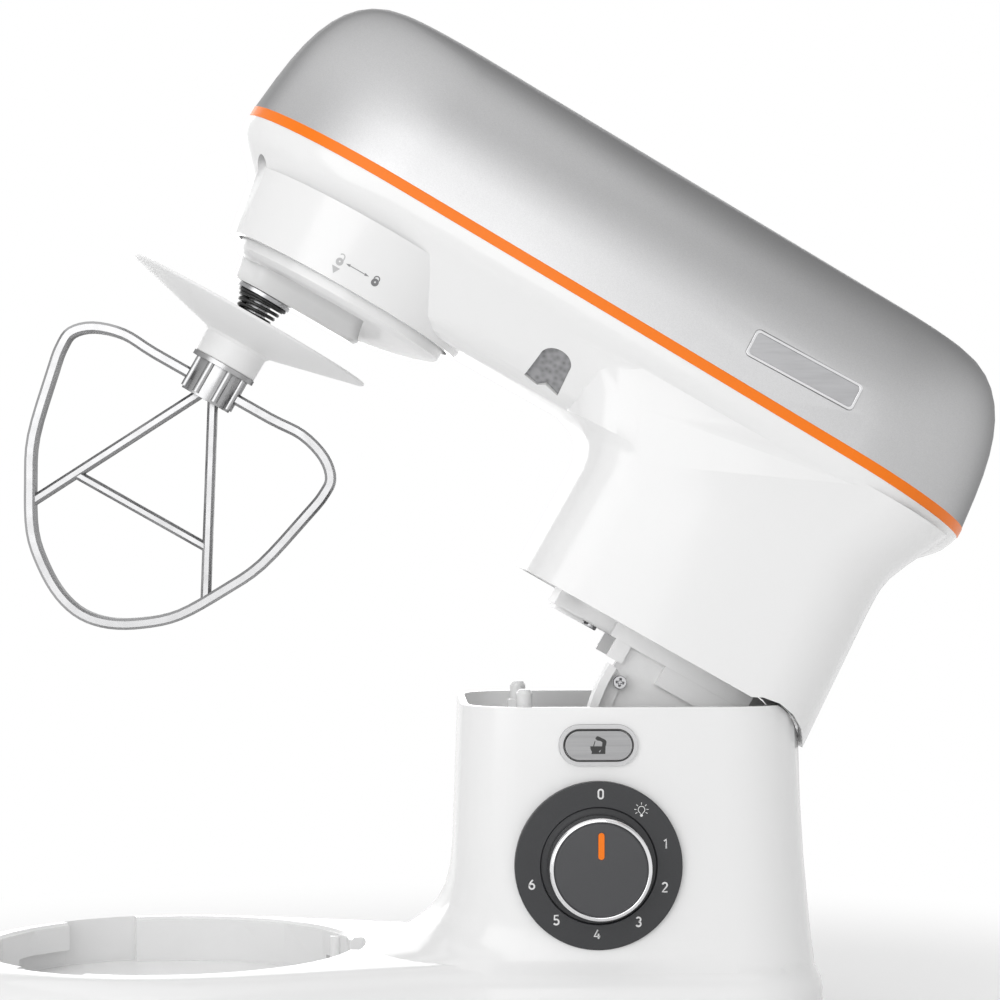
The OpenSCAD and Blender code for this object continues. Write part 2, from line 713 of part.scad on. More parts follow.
module lock_pin() {
    color("silver") rod_x(lever_y, lever_z, 41, tooth_x + 11.5, 2);
}

// Rocker: the button pushes its top in, and its foot draws the lock tooth out of the quadrant
module lock_lever() {
    color("gray") difference() {
        union() {
            block([46, lever_y - 2, lever_z - 4], [tooth_x + 6.5, lever_y + 2, lever_z + 4]);
            block([46, lever_y - 2, lever_z + 4], [56, lever_y + 2, button_z + 5]);
            block([tooth_x - 6, lever_y - 2, tooth_z - tooth_half], [tooth_x + 6, lever_y + 2, lever_z - 4]);
            translate([tooth_x, 0, tooth_z]) across(lever_y + 2, web_y + web_t - 1.2)
                circle(r = tooth_half, $fn = fine);
            rod_x(lever_y, lever_z, 46, tooth_x + 6.5, 4);
        }
        rod_x(lever_y, lever_z, 40, tooth_x + 10, 2 + running);
    }
}

// ---- Head shells ----

// Outline of the head d inside its trim band line, at height z over the origin
module cover_solid(d, arc, levels, grow = 0) {
    corner = 2.6;
    top = cover_h - d;
    function lean(h) = 0.1 * h;
    loft(concat(
        grow > 0 ? [lifted(hull_outline(nose_x + d, tail_x - d, head_hw - d, 76, 64, arc),
            cover_z - grow, -band_rise)] : [],
        [for (i = [0 : levels]) let(
            t = 86 * i / levels, h = top * pow(sin(t), 2 / corner),
            in_side = (head_hw - d) * (1 - pow(cos(t), 2 / corner)),
            in_end = 46 * (1 - pow(1 - pow(h / top, 3.2) * 0.999, 1 / 3.2)) + lean(h),
            left = head_hw - d - in_side, round_end = pow(left / head_hw, 0.5))
            lifted(hull_outline(nose_x + d + in_end, tail_x - d - in_end, left,
                76 * round_end, 64 * round_end, arc), cover_z + h, -band_rise)]));
}

badge_x = 53.7;
badge_z = 272.9;
badge_w = 50;
badge_h = 12;
badge_lean = 6;
// Places the badge on the near side of the cover, its face outwards
module at_badge() {
    translate([badge_x, -head_hw + 1.2, badge_z]) rotate([90 - badge_lean, 0, 0])
        rotate(band_slope) children();
}

module top_cover() {
    color("lightgray") raised() shell() difference() {
        cover_solid(0, outer_arc, shell_levels);
        difference() {
            cover_solid(cover_wall, inner_arc, 7, 1);
            for (s = [-1, 1]) {
                post(nose_screw[0], s * nose_screw[1], 250, 330, 4.5);
                post(tail_screw[0], s * tail_screw[1], 247, 330, 4.5);
            }
        }
        for (s = [-1, 1]) {
            post(nose_screw[0], s * nose_screw[1], 249, 262, small_screw_r);
            post(tail_screw[0], s * tail_screw[1], 246, 258, small_screw_r);
        }
        at_badge() linear_extrude(10) offset(2.2, $fn = 16)
            square([badge_w - 4, badge_h - 4], center = true);
    }
}

module trim_band() {
    color("darkorange") raised() shell() difference() {
        loft([for (z = [cover_z - band_h, cover_z])
            lifted(hull_outline(nose_x - 0.3, tail_x + 0.3, head_hw + 0.3, 76, 64, outer_arc),
                z, -band_rise)]);
        loft([for (z = [cover_z - band_h - 1, cover_z + 1])
            lifted(hull_outline(nose_x + 3, tail_x - 3, head_hw - 3, 76, 64, outer_arc),
                z, -band_rise)]);
    }
}

// Pan of the head against height: front, rear, half width, slope share
pan_profile = [
    [cover_z - band_h, nose_x, tail_x, head_hw, 1],
    [248.5, nose_x - 0.3, tail_x - 1.2, head_hw - 0.1, 1],
    [244.6, nose_x + 0.9, tail_x - 3, head_hw - 0.6, 1],
    [242, nose_x + 3, tail_x - 4.6, head_hw - 2, 0.9],
    [238, nose_x + 7.5, tail_x - 7.6, head_hw - 4.6, 0.7],
    [232, nose_x + 13, tail_x - 12.6, head_hw - 8, 0.4],
    [224, nose_x + 18, tail_x - 18.6, head_hw - 12.4, 0.2],
    [217, nose_x + 23, tail_x - 21, head_hw - 17, 0],
    [under_z + 1.6, nose_x + 28, tail_x - 21.6, head_hw - 22, 0],
    [under_z, nose_x + 35, tail_x - 21.8, head_hw - 28, 0]];

module pan_solid(d, arc, grow = 0) {
    rows = len(pan_profile) - 1;
    loft([for (i = [rows : -1 : 0]) let(
        c = pan_profile[i], z = i == 0 ? c[0] + grow : c[0] + (i > rows - 4 ? d : 0))
        lifted(hull_outline(c[1] + d, c[2] - d, c[3] - d, 76 * c[3] / head_hw, 64 * c[3] / head_hw, arc),
            z, -band_rise * c[4])]);
}

// Neck against height: front, rear, front corner
neck_profile = [
    [lip_z, column_front, 135.2, front_corner],
    [170, column_front, 133.4, front_corner],
    [194, column_front, 131.8, front_corner],
    [199, column_front - 0.7, 131.5, front_corner],
    [203, column_front - 2.3, 131.4, front_corner],
    [206.5, column_front - 5, 131.3, front_corner + 1],
    [209.5, column_front - 9, 131.3, front_corner + 3],
    [under_z, column_front - 17, 131.4, front_corner + 6],
    [218, column_front - 22, 132.6, front_corner + 9],
    [226, column_front - 28, 136, front_corner + 13],
    [236, column_front - 38, 141, front_corner + 19],
    [245, column_front - 52, 145, front_corner + 26]];

module neck_solid(d, arc, grow = 0) {
    loft([for (i = [0 : len(neck_profile) - 1]) let(c = neck_profile[i])
        lifted(post_outline(c[1] + d, c[2] - d, column_hw - d, c[3] - d / 2, rear_corner - d / 2, arc),
            i == 0 ? c[0] - grow : c[0])]);
}

// What the neck leaves free: the column's mouth in front of the hinge, and the knuckle
module neck_cut() {
    block([-60, -80, 100], [hinge_x, 80, neck_z]);
    rod(hinge_x, hinge_z, -80, 80, knuckle_r + knuckle_gap);
}

hub_bore = hub_r + 1.6;
nose_screw = [-183, 23];
tail_screw = [132, 20];
boss = [[-52, 24], [118, 30]];
lens_x = -37;
lens_z = 224;

// Arched window of the lamp, seen square on
module lens_shape(d = 0) {
    polygon([[-6.4 - d, 6], [-8 - d, -8.5 - d], [-1.5, -10 - d],
        [1.5, -7.4 - d], [8 + d, -9.6 - d], [6.8 + d, 6]]);
    translate([0.2, 4.4]) scale([1, 0.82]) circle(r = 6.8 + d, $fn = 36);
}
// Places the lamp's window on the near flank of the pan, its face outwards
module at_lens() {
    translate([lens_x, -43.4, lens_z]) rotate([90 + 32, 0, 0]) children();
}

module head_housing() {
    color("white") raised() difference() {
        shell() {
            difference() {
                union() {
                    pan_solid(0, outer_arc);
                    difference() {
                        neck_solid(0, 6);
                        neck_cut();
                    }
                }
                difference() {
                    union() {
                        pan_solid(shell_wall, inner_arc, 1);
                        neck_solid(shell_wall, 3, 9);
                    }
                    for (s = [-1, 1]) {
                        post(nose_screw[0], s * nose_screw[1], 200, 250, 6);
                        post(tail_screw[0], s * tail_screw[1], 200, 247, 6);
                        post(boss[0][0], s * boss[0][1], 200, chassis_z, 5);
                        post(boss[1][0], s * boss[1][1], 200, chassis_z, 9.5);
                    }
                    translate([bowl_x, 0, skirt_z]) cylinder(h = 27, r = hub_bore + 2.4, $fn = 48);
                    at_lens() translate([0, 0, -6]) linear_extrude(6) lens_shape(2);
                }
            }
            translate([bowl_x, 0, skirt_z]) cylinder(h = 29, r1 = skirt_r, r2 = skirt_r + 4.8, $fn = 72);
        }
        post(bowl_x, 0, skirt_z - 1, 238.8, hub_bore);
        at_lens() translate([0, 0, -3.2]) linear_extrude(12) lens_shape(0.15);
        at_lens() translate([0, 0, -7]) linear_extrude(12) lens_shape(-2);
        for (s = [-1, 1]) {
            post(nose_screw[0], s * nose_screw[1], 200, 246, 4.2);
            post(nose_screw[0], s * nose_screw[1], 240, 260, small_screw_r);
            post(tail_screw[0], s * tail_screw[1], 200, 243, 4.2);
            post(tail_screw[0], s * tail_screw[1], 240, 260, small_screw_r);
            for (b = boss) post(b[0], s * b[1], chassis_z - 8, chassis_z + 1, screw_r);
        }
    }
}

module badge_frame() {
    color("silver") raised() at_badge() difference() {
        linear_extrude(1.6) plate_shape(0);
        translate([0, 0, 0.7]) linear_extrude(3) plate_shape(1.2);
    }
}

module badge_plate() {
    color("gray") raised() at_badge() translate([0, 0, 0.7]) linear_extrude(0.5) plate_shape(1.2);
}

// Rounded rectangle of the badge, d inside its edge
module plate_shape(d) {
    r = 2 - d / 2;
    square([badge_w - 2 * d - 2 * r, badge_h - 2 * d], center = true);
    square([badge_w - 2 * d, badge_h - 2 * d - 2 * r], center = true);
    for (x = [-1, 1], y = [-1, 1]) translate([x * (badge_w / 2 - d - r), y * (badge_h / 2 - d - r)])
        circle(r = r, $fn = 32);
}

module lamp_lens() {
    color("lightgray") raised() at_lens() translate([0, 0, -3]) linear_extrude(3.1) lens_shape(0);
}

module lamp_board() {
    color("darkgreen") raised() at_lens() {
        translate([-7, -7, -7.8]) cube([14, 14, 1.4]);
        translate([-2, -2, -6.4]) cube([4, 4, 1.2]);
    }
}

// Plate that closes the neck from below and carries the hinge
module neck_plate() {
    color("gainsboro") raised() difference() {
        translate([0, 0, plate_z]) linear_extrude(3)
            polygon(post_outline(column_front + shell_wall + 1, hinge_x - 14, column_hw - shell_wall - 0.5,
                front_corner, 3, 8));
        for (s = [-1, 1]) post(pin_x - 1, s * pin_y, plate_z - 1, plate_z + 5, 6);
        post(84, 0, plate_z - 1, plate_z + 5, 9);
    }
}

module cover_screws() {
    color("silver") raised() for (s = [-1, 1]) {
        post(nose_screw[0], s * nose_screw[1], 243.6, 246, 3.4);
        post(nose_screw[0], s * nose_screw[1], 246, 254, 1.6);
        post(tail_screw[0], s * tail_screw[1], 240.6, 243, 3.4);
        post(tail_screw[0], s * tail_screw[1], 243, 250, 1.6);
    }
}

// ---- Drive train ----

module drive_chassis() {
    color("silver") raised() difference() {
        translate([0, 0, chassis_z]) linear_extrude(chassis_t) 
            polygon(hull_outline(-184, 127, 48.5, 66, 46, 16));
        post(bowl_x, 0, chassis_z - 1, chassis_z + 9, bearing_r);
        post(pinion_x, 0, chassis_z - 1, chassis_z + 9, bush_r);
        post(motor_x, 0, chassis_z - 1, chassis_z + 9, 30);
        for (b = boss, s = [-1, 1]) post(b[0], s * b[1], chassis_z - 1, chassis_z + 9, 2);
        for (s = stator_screws) post(s[0], s[1], chassis_z - 1, chassis_z + 9, screw_r);
        for (p = lid_screws) post(p[0], p[1], chassis_z - 1, chassis_z + 9, small_screw_r);
    }
}
bearing_r = 13;
bush_r = 7;
screw_r = 2;
stator_screws = [for (x = [-1, 1], y = [-1, 1])
    [motor_x + x * (stator_w / 2 - 4.5), y * (stator_w / 2 - 4.5)]];
lid_top = 272;

module gearbox_lid() {
    wall = 2.5;
    tip = lid_r - wall;
    small_tip = main_module * (pinion_teeth / 2 + 1) + 2.4;
    color("silver") raised() difference() {
        union() {
            translate([0, 0, chassis_z + chassis_t]) linear_extrude(lid_top - chassis_z - chassis_t)
                egg(bowl_x, tip + wall, pinion_x, small_tip + wall);
            post(bowl_x, 0, lid_top, lid_top + 8, bearing_r + wall);
            post(pinion_x, 0, lid_top, lid_top + 8, bush_r + wall);
            for (p = lid_screws) post(p[0], p[1], chassis_z + chassis_t, lid_ear, 3.8);
        }
        translate([0, 0, chassis_z + chassis_t - 1])
            linear_extrude(lid_top - chassis_z - chassis_t - wall + 1)
                egg(bowl_x, tip, pinion_x, small_tip);
        post(bowl_x, 0, lid_top - 8, lid_top + 9, bearing_r);
        post(pinion_x, 0, lid_top - 8, lid_top + 9, bush_r);
        for (p = lid_screws) {
            post(p[0], p[1], chassis_z, lid_ear + 1, small_screw_r);
            post(p[0], p[1], lid_ear, lid_top + 1, 2.9);
        }
    }
}
lid_r = main_module * (main_teeth / 2 + 1) + 4.9;
lid_ear = chassis_z + chassis_t + 10;
lid_screws = [for (a = [75, 105, 180, 255, 285]) [bowl_x + (lid_r + 2.2) * cos(a), (lid_r + 2.2) * sin(a)]];

module ring_gear() {
    z0 = 216;
    color("gray") raised() {
        translate([bowl_x, 0, z0]) linear_extrude(12) difference() {
            circle(r = hub_bore - touch, $fn = fine);
            ring_space(planet_module, ring_teeth);
        }
        ring(bowl_x, 0, z0 + 12, chassis_z, 49, 45);
    }
}

module bearings() {
    color("silver") raised() {
        ring(bowl_x, 0, chassis_z, chassis_z + 7, bearing_r, spindle_r + running);
        ring(bowl_x, 0, lid_top + 1, lid_top + 8, bearing_r, spindle_r + running);
        ring(pinion_x, 0, chassis_z, chassis_z + 6, bush_r, thin_shaft_r + running);
        ring(pinion_x, 0, lid_top + 2, lid_top + 8, bush_r, thin_shaft_r + running);
    }
}

module spindle() {
    color("silver") raised() {
        post(bowl_x, 0, 205, lid_top + 9, spindle_r);
        post(bowl_x, 0, lid_top + 9, lid_top + 11, spindle_r - 1);
    }
}

module main_gear() {
    web = 30;
    color("gray") raised() difference() {
        translate([bowl_x, 0, gear_z]) linear_extrude(gear_t) spur_gear(main_module, main_teeth);
        post(bowl_x, 0, gear_z - 1, gear_z + gear_t + 1, spindle_r);
        for (a = [0 : 60 : 300]) post(bowl_x + web * 0.72 * cos(a), web * 0.72 * sin(a), gear_z - 1,
            gear_z + gear_t + 1, 6);
        ring(bowl_x, 0, gear_z + gear_t - 2.5, gear_z + gear_t + 1, web + 4, spindle_r + 4);
    }
}

module pinion_shaft() {
    color("gray") raised() {
        translate([pinion_x, 0, gear_z - 1]) linear_extrude(gear_t + 2)
            rotate(180 + 180 / pinion_teeth) spur_gear(main_module, pinion_teeth);
        post(pinion_x, 0, chassis_z + 0.5, pulley_z + pulley_t + 1, thin_shaft_r);
    }
}

// Grooved rim of a belt pulley, drawn as its cross-section
module pulley_section(r, bore) {
    ribs = 4;
    pitch = (pulley_t - 3) / ribs;
    polygon(concat([[bore, 0], [r + 2.2, 0], [r + 2.2, 1.2], [r, 1.5]],
        [for (k = [0 : ribs - 1]) for (p = [[r, 1.5 + k * pitch], [r - 0.9, 1.5 + (k + 0.5) * pitch]]) p],
        [[r, pulley_t - 1.5], [r + 2.2, pulley_t - 1.2], [r + 2.2, pulley_t], [bore, pulley_t]]));
}

module belt_pulley() {
    color("dimgray") raised() difference() {
        translate([pinion_x, 0, pulley_z]) rotate_extrude($fn = fine)
            pulley_section(big_pulley_r, thin_shaft_r);
        for (a = [0 : 72 : 288])
            post(pinion_x + 18 * cos(a), 18 * sin(a), pulley_z - 1, pulley_z + pulley_t + 1, 7);
        ring(pinion_x, 0, pulley_z + pulley_t - 3, pulley_z + pulley_t + 1,
            big_pulley_r - 3, thin_shaft_r + 3.5);
    }
}

module motor_pulley() {
    color("silver") raised() translate([motor_x, 0, pulley_z])
        rotate_extrude($fn = fine) pulley_section(motor_pulley_r, thin_shaft_r);
}

module drive_belt() {
    t = 1.8;
    gap = 0.4;
    rim = big_pulley_r / cos(6);
    small_rim = motor_pulley_r / cos(10);
    color("dimgray") raised() translate([0, 0, pulley_z + 1.6]) linear_extrude(pulley_t - 3.2) difference() {
        polygon(belt_line(pinion_x, rim + gap + t, motor_x, small_rim + gap + t));
        polygon(belt_line(pinion_x, rim + gap, motor_x, small_rim + gap));
    }
}

module motor_stator() {
    bore = armature_r + air_gap;
    color("gray") raised() translate([motor_x, 0, stator_z]) linear_extrude(stator_h) difference() {
        intersection() {
            square(stator_w, center = true);
            rotate(45) square(stator_w * 1.3, center = true);
        }
        circle(r = bore, $fn = fine);
        for (s = [-1, 1]) translate([s * (bore + 2), 0]) square([9, 24], center = true);
        for (s = stator_screws) translate([s[0] - motor_x, s[1]]) circle(r = screw_r, $fn = 24);
    }
}

module field_windings() {
    bore = armature_r + air_gap;
    color("sienna") raised() for (z = [stator_z - 7, stator_z + stator_h]) translate([motor_x, 0, z])
        linear_extrude(7) difference() {
            circle(r = bore + 8, $fn = fine);
            circle(r = bore + 1, $fn = fine);
            square([12, 90], center = true);
        }
}

module motor_brackets() {
    low = stator_z - 30;
    span = stator_w - 9;
    color("silver") raised() difference() {
        union() {
            for (y = [-1, 1]) block([motor_x - stator_w / 2 + 1, y * span / 2 - 3.4, low],
                [motor_x + stator_w / 2 - 1, y * span / 2 + 3.4, low + 5]);
            block([motor_x - 9, -span / 2, low], [motor_x + 9, span / 2, low + 5]);
            for (s = stator_screws) post(s[0], s[1], low + 5, stator_z, 3.4);
            post(motor_x, 0, low, low + 7.5, 9);
            for (s = stator_screws) post(s[0], s[1], stator_z + stator_h, chassis_z, 3.4);
            block([motor_x - 8, -36, chassis_z + chassis_t], [motor_x + 8, 36, chassis_z + chassis_t + 4]);
            post(motor_x, 0, chassis_z + chassis_t, chassis_z + chassis_t + 7, 9);
        }
        post(motor_x, 0, low + 2, chassis_z + 20, thin_shaft_r + running);
        for (s = stator_screws) post(s[0], s[1], low - 1, chassis_z + 1, screw_r);
    }
}

module drive_screws() {
    low = stator_z - 30;
    color("silver") raised() {
        for (s = stator_screws) {
            post(s[0], s[1], low - 2, low, 3.2);
            post(s[0], s[1], low, chassis_z + chassis_t, screw_r);
        }
        for (b = boss, s = [-1, 1]) {
            post(b[0], s * b[1], chassis_z + chassis_t, chassis_z + chassis_t + 2.2, 3.8);
            post(b[0], s * b[1], chassis_z - 6, chassis_z + chassis_t, screw_r);
        }
        for (p = lid_screws) {
            post(p[0], p[1], lid_ear, lid_ear + 1.8, 2.6);
            post(p[0], p[1], chassis_z + 0.5, lid_ear, small_screw_r);
        }
    }
}

module brush_holders() {
    low = stator_z - 25;
    color("peru") raised() for (s = [-1, 1]) mirror([0, s < 0 ? 1 : 0, 0])
        difference() {
            block([motor_x - 5, commutator_r + 0.5, low], [motor_x + 5, commutator_r + 20, low + 12]);
            block([motor_x - 3, commutator_r + 9, low + 3], [motor_x + 3, commutator_r + 21, low + 9]);
        }
}
commutator_r = 11;

module armature_shaft() {
    color("silver") raised() post(motor_x, 0, stator_z - 27.5, pulley_z + pulley_t + 1, thin_shaft_r);
}

module armature_core() {
    slots = 12;
    color("gray") raised() {
        translate([motor_x, 0, stator_z]) linear_extrude(stator_h) difference() {
            circle(r = armature_r, $fn = fine);
            circle(r = thin_shaft_r, $fn = fine);
            for (k = [0 : slots - 1])
                rotate(360 * k / slots) translate([armature_r - 3, -1.2]) square([4, 2.4]);
        }
    }
    color("sienna") raised() {
        for (z = [stator_z - 6, stator_z + stator_h])
            ring(motor_x, 0, z, z + 6, armature_r - 3.5, thin_shaft_r);
    }
}

module commutator() {
    bars = 24;
    color("peru") raised() translate([motor_x, 0, stator_z - 21.5]) linear_extrude(14) difference() {
        circle(r = commutator_r, $fn = fine);
        circle(r = thin_shaft_r, $fn = fine);
        for (k = [0 : bars - 1])
            rotate(360 * k / bars) translate([commutator_r - 1.4, -0.3]) square([2, 0.6]);
    }
}

module motor_fan() {
    blades = 11;
    z = 256;
    color("dimgray") raised() difference() {
        union() {
            post(motor_x, 0, z, z + 1.6, 33);
            post(motor_x, 0, z, z + 12, 7);
            for (k = [0 : blades - 1]) translate([motor_x, 0, z + 1.6]) rotate([0, 0, 360 * k / blades])
                linear_extrude(9) intersection() {
                    translate([0, 24]) difference() {
                        circle(r = 24, $fn = 48);
                        circle(r = 22.6, $fn = 48);
                    }
                    translate([14, -4]) square([18, 26]);
                }
        }
        post(motor_x, 0, z - 1, z + 14, thin_shaft_r);
    }
}

// ---- Planetary hub and output ----

hub_low = 193.6;
hub_top = 211.6;
module planetary_hub() {
    color("white") raised() difference() {
        union() {
            shell() {
                difference() {
                    translate([bowl_x, 0, 0]) rotate_extrude($fn = 72) polygon(concat(
                        [[0, hub_top], [0, 195]], [for (r = [8 : 8 : 40]) [r, 195 + 8.2 * pow(r / 47, 2)]],
                        [[45.5, 202.8], [47.6, 203.6], [hub_r, 205.4], [hub_r, hub_top]]));
                    difference() {
                        translate([bowl_x, 0, 0]) rotate_extrude($fn = 72)
                            polygon([[0, 180], [43.8, 180], [43.4, 203],
                                [42.2, 205.6], [39.6, 207.4], [0, 208]]);
                        block([bowl_x + 15, -60, 170], [bowl_x + 70, 60, 220]);
                    }
                }
                loft([lifted(keel(-2.2, 0), hub_low), lifted(keel(-0.4, 0.4), hub_low + 1.4),
                    lifted(keel(1, 1.2), 200), lifted(keel(2.8, 2.2), 204.6), lifted(keel(6, 3.6), 207.2),
                    lifted(keel(7, 4), 210)]);
            }
            post(bowl_x, 0, hub_top, 229.6, 12);
            translate([0, 0, 229.6]) linear_extrude(5) mirror([1, 0]) egg(-bowl_x, 12, -shaft_x, 9.5);
        }
        post(bowl_x, 0, 205, 240, spindle_r);
        post(shaft_x, 0, hub_low - 1, 240, output_r + running);
    }
}

// Keel that carries the output shaft, seen from below: a round front and a slimmer rear
function keel(grow, tail) = let(
    r0 = 15.5 + grow * 0.6, r1 = 9 + grow * 0.6, x0 = shaft_x, x1 = bowl_x + 6 + tail) concat(
    [for (i = [0 : 12]) let(t = 90 + 180 * i / 12) [x0 + r0 * cos(t), r0 * sin(t)]],
    [for (i = [0 : 8]) let(t = -90 + 180 * i / 8) [x1 + r1 * cos(t), r1 * sin(t)]]);

module planet_gear() {
    color("gray") raised() translate([shaft_x, 0, 216.5]) difference() {
        linear_extrude(11) rotate(180) spur_gear(planet_module, planet_teeth);
        translate([0, 0, -1]) cylinder(h = 13, r = output_r, $fn = fine);
    }
}

pin_z = 170;
shaft_end = 149;
module output_shaft() {
    color("silver") raised() {
        post(shaft_x, 0, shaft_end + 1, 235.4, output_r);
        translate([shaft_x, 0, shaft_end]) cylinder(h = 1, r1 = output_r - 1, r2 = output_r, $fn = fine);
        post(shaft_x, 0, 234.9, 236.9, output_r + 2.5);
        post(shaft_x, 0, hub_low - 2, hub_low - 0.3, 12.4);
        rod(shaft_x, pin_z, -7.6, 7.6, 1.5);
    }
}

// Conical spring under the planetary hub, its end turns flat
module shaft_spring() {
    wire = 0.85;
    turns = 5;
    steps = 14;
    low = 183.2;
    high = hub_low - 2 - wire * sin(60);
    function climb(f) = min(1, max(0, (f * turns - 0.8) / (turns - 1.6)));
    color("dimgray") raised() translate([shaft_x, 0, 0]) loft([for (i = [0 : turns * steps]) let(
        f = i / (turns * steps), a = 360 * i / steps, r = mix(6.6, 10.8, f), z = mix(low, high, climb(f)))
        [for (b = [0 : 60 : 300]) let(out = r + wire * cos(b))
            [out * cos(a), out * sin(a), z - wire * sin(b)]]]);
}

// ---- Beater ----

loop_top = 150.7;
hub_foot = 141.5;
// Half of the loop's outer edge, as shares of its half width and of its height
loop_shape = [[0, 0], [0.42, 0], [0.66, -0.005], [0.865, 0.03], [0.985, 0.094], [1, 0.171], [0.968, 0.273],
    [0.871, 0.509], [0.736, 0.666], [0.57, 0.82], [0.39, 0.913], [0.195, 0.977], [0, 1]];
function loop_point(p, side) = [side * p[0] * beater_hw, loop_top - p[1] * beater_h];
// Closed loop, counter-clockwise as seen from the near side
loop_knots = concat([for (i = [0 : 11]) loop_point(loop_shape[i], -1)],
    [for (i = [12 : -1 : 1]) loop_point(loop_shape[i], 1)]);
function spline(a, b, c, d, t) = 0.5 * (2 * b + (c - a) * t + (2 * a - 5 * b + 4 * c - d) * t * t
    + (3 * b - a - 3 * c + d) * t * t * t);
loop_path = let(n = len(loop_knots), steps = 4) [for (i = [0 : n - 1]) for (k = [0 : steps - 1])
    spline(loop_knots[(i + n - 1) % n], loop_knots[i], loop_knots[(i + 1) % n],
        loop_knots[(i + 2) % n], k / steps)];

// Eight-sided bar section: w wide, d deep, with chamfered edges
function bar_section(w, d, c = 1.1) = [[w, c - d], [w, d - c], [w - c, d], [c - w, d],
    [-w, d - c], [-w, c - d], [c - w, -d], [w - c, -d]];

module loop_bar() {
    n = len(loop_path);
    section = bar_section(bar_w / 2, bar_d / 2);
    rings = [for (i = [0 : n - 1]) let(
        t = loop_path[(i + 1) % n] - loop_path[(i + n - 1) % n], out = [t[1], -t[0]] / norm(t))
        [for (s = section) let(p = loop_path[i] + out * (s[0] - bar_w / 2)) [p[0], s[1], p[1]]]];
    polyhedron(points = [for (r = rings) for (p = r) p], faces = [for (i = [0 : n - 1]) for (k = [0 : 7])
        [i * 8 + k, (i + 1) % n * 8 + k, (i + 1) % n * 8 + (k + 1) % 8, i * 8 + (k + 1) % 8]]);
}

// Straight bar between two points of the loop's plane
module spoke(from, to, w, d) {
    run = to - from;
    translate([from[0], 0, from[1]]) rotate([0, atan2(run[0], run[1]), 0]) linear_extrude(norm(run))
        polygon(bar_section(w / 2, d / 2));
}

module beater() {
    spoke_top = [3.3, hub_foot + 1];
    spoke_foot = [beater_hw * 0.64, loop_top - beater_h * 0.715];
    cross_z = loop_top - beater_h * 0.545;
    cross_u = mix(spoke_top[0], spoke_foot[0], (spoke_top[1] - cross_z) / (spoke_top[1] - spoke_foot[1]));
    sleeve = 8.4;
    color("silver") raised() difference() {
        union() {
            translate([shaft_x, 0, 0]) {
                loop_bar();
                for (s = [-1, 1])
                    spoke([s * spoke_top[0], spoke_top[1]], [s * spoke_foot[0], spoke_foot[1]], 4.2, 8);
                spoke([-cross_u, cross_z], [cross_u, cross_z], 4, 7);
                for (k = [0 : 7]) rotate([0, 0, 22.5 + 45 * k]) translate([11.2, 0, hub_foot + 1])
                    cylinder(h = 15, r = 1.6, $fn = 24);
            }
            post(shaft_x, 0, hub_foot, 156.6, 11.4);
            post(shaft_x, 0, 156.6, collar_z, 14.4);
            post(shaft_x, 0, collar_z, 176, sleeve);
        }
        post(shaft_x, 0, shaft_end - 2, 177, output_r + running);
        block([shaft_x - 1.8, -sleeve - 1, pin_z - 1.9], [shaft_x + 1.8, sleeve + 1, 177]);
    }
}
collar_z = 158.6;

module splash_disc() {
    color("white") raised() translate([shaft_x, 0, 0]) rotate_extrude($fn = fine) polygon([
        [8.4, collar_z], [13.6, collar_z], [14, collar_z + 0.5], [14.2, 168.6], [15.6, 170],
        [disc_r - 0.8, 179.7], [disc_r, 180.3], [disc_r, 181.2], [disc_r - 0.6, 181.4],
        [15, 173], [13.5, 174], [12.8, 181], [8.4, 181]]);
}

base_shell();
bottom_plate();
rubber_feet();
base_screws();
locating_pins();
hinge_brackets();
hinge_pin();
dial_bezel();
button_bezel();
speed_switch();
control_board();
cord_gland();
lock_bracket();
lock_pin();
release_button();
lock_lever();
dial_knob();
knob_ring();
knob_pointer();
knob_shaft();
top_cover();
trim_band();
head_housing();
badge_frame();
badge_plate();
lamp_lens();
lamp_board();
neck_plate();
hinge_carrier();
carrier_screws();
cover_screws();
drive_chassis();
gearbox_lid();
ring_gear();
bearings();
motor_stator();
field_windings();
motor_brackets();
drive_screws();
brush_holders();
drive_belt();
armature_shaft();
armature_core();
commutator();
motor_fan();
motor_pulley();
pinion_shaft();
belt_pulley();
spindle();
main_gear();
planetary_hub();
output_shaft();
planet_gear();
shaft_spring();
beater();
splash_disc();
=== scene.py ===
# Tilt-head stand mixer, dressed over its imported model. The head is raised.
import json
import math

import bmesh
import bpy
from mathutils import Matrix, Vector
from mathutils.bvhtree import BVHTree


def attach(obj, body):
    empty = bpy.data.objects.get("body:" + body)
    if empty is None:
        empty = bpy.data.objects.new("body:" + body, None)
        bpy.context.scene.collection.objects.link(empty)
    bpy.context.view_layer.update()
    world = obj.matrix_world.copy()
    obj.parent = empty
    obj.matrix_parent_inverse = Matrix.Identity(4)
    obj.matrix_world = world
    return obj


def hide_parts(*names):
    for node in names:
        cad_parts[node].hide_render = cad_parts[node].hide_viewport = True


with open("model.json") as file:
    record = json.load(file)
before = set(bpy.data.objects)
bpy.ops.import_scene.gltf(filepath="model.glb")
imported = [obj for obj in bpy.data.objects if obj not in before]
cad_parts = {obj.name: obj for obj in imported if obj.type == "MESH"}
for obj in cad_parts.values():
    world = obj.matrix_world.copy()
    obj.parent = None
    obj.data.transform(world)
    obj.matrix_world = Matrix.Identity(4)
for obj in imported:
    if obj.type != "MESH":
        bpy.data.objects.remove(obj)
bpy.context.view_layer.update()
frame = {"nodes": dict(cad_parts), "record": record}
nodes = frame["nodes"]
print("frame loaded:", len(nodes), "nodes")

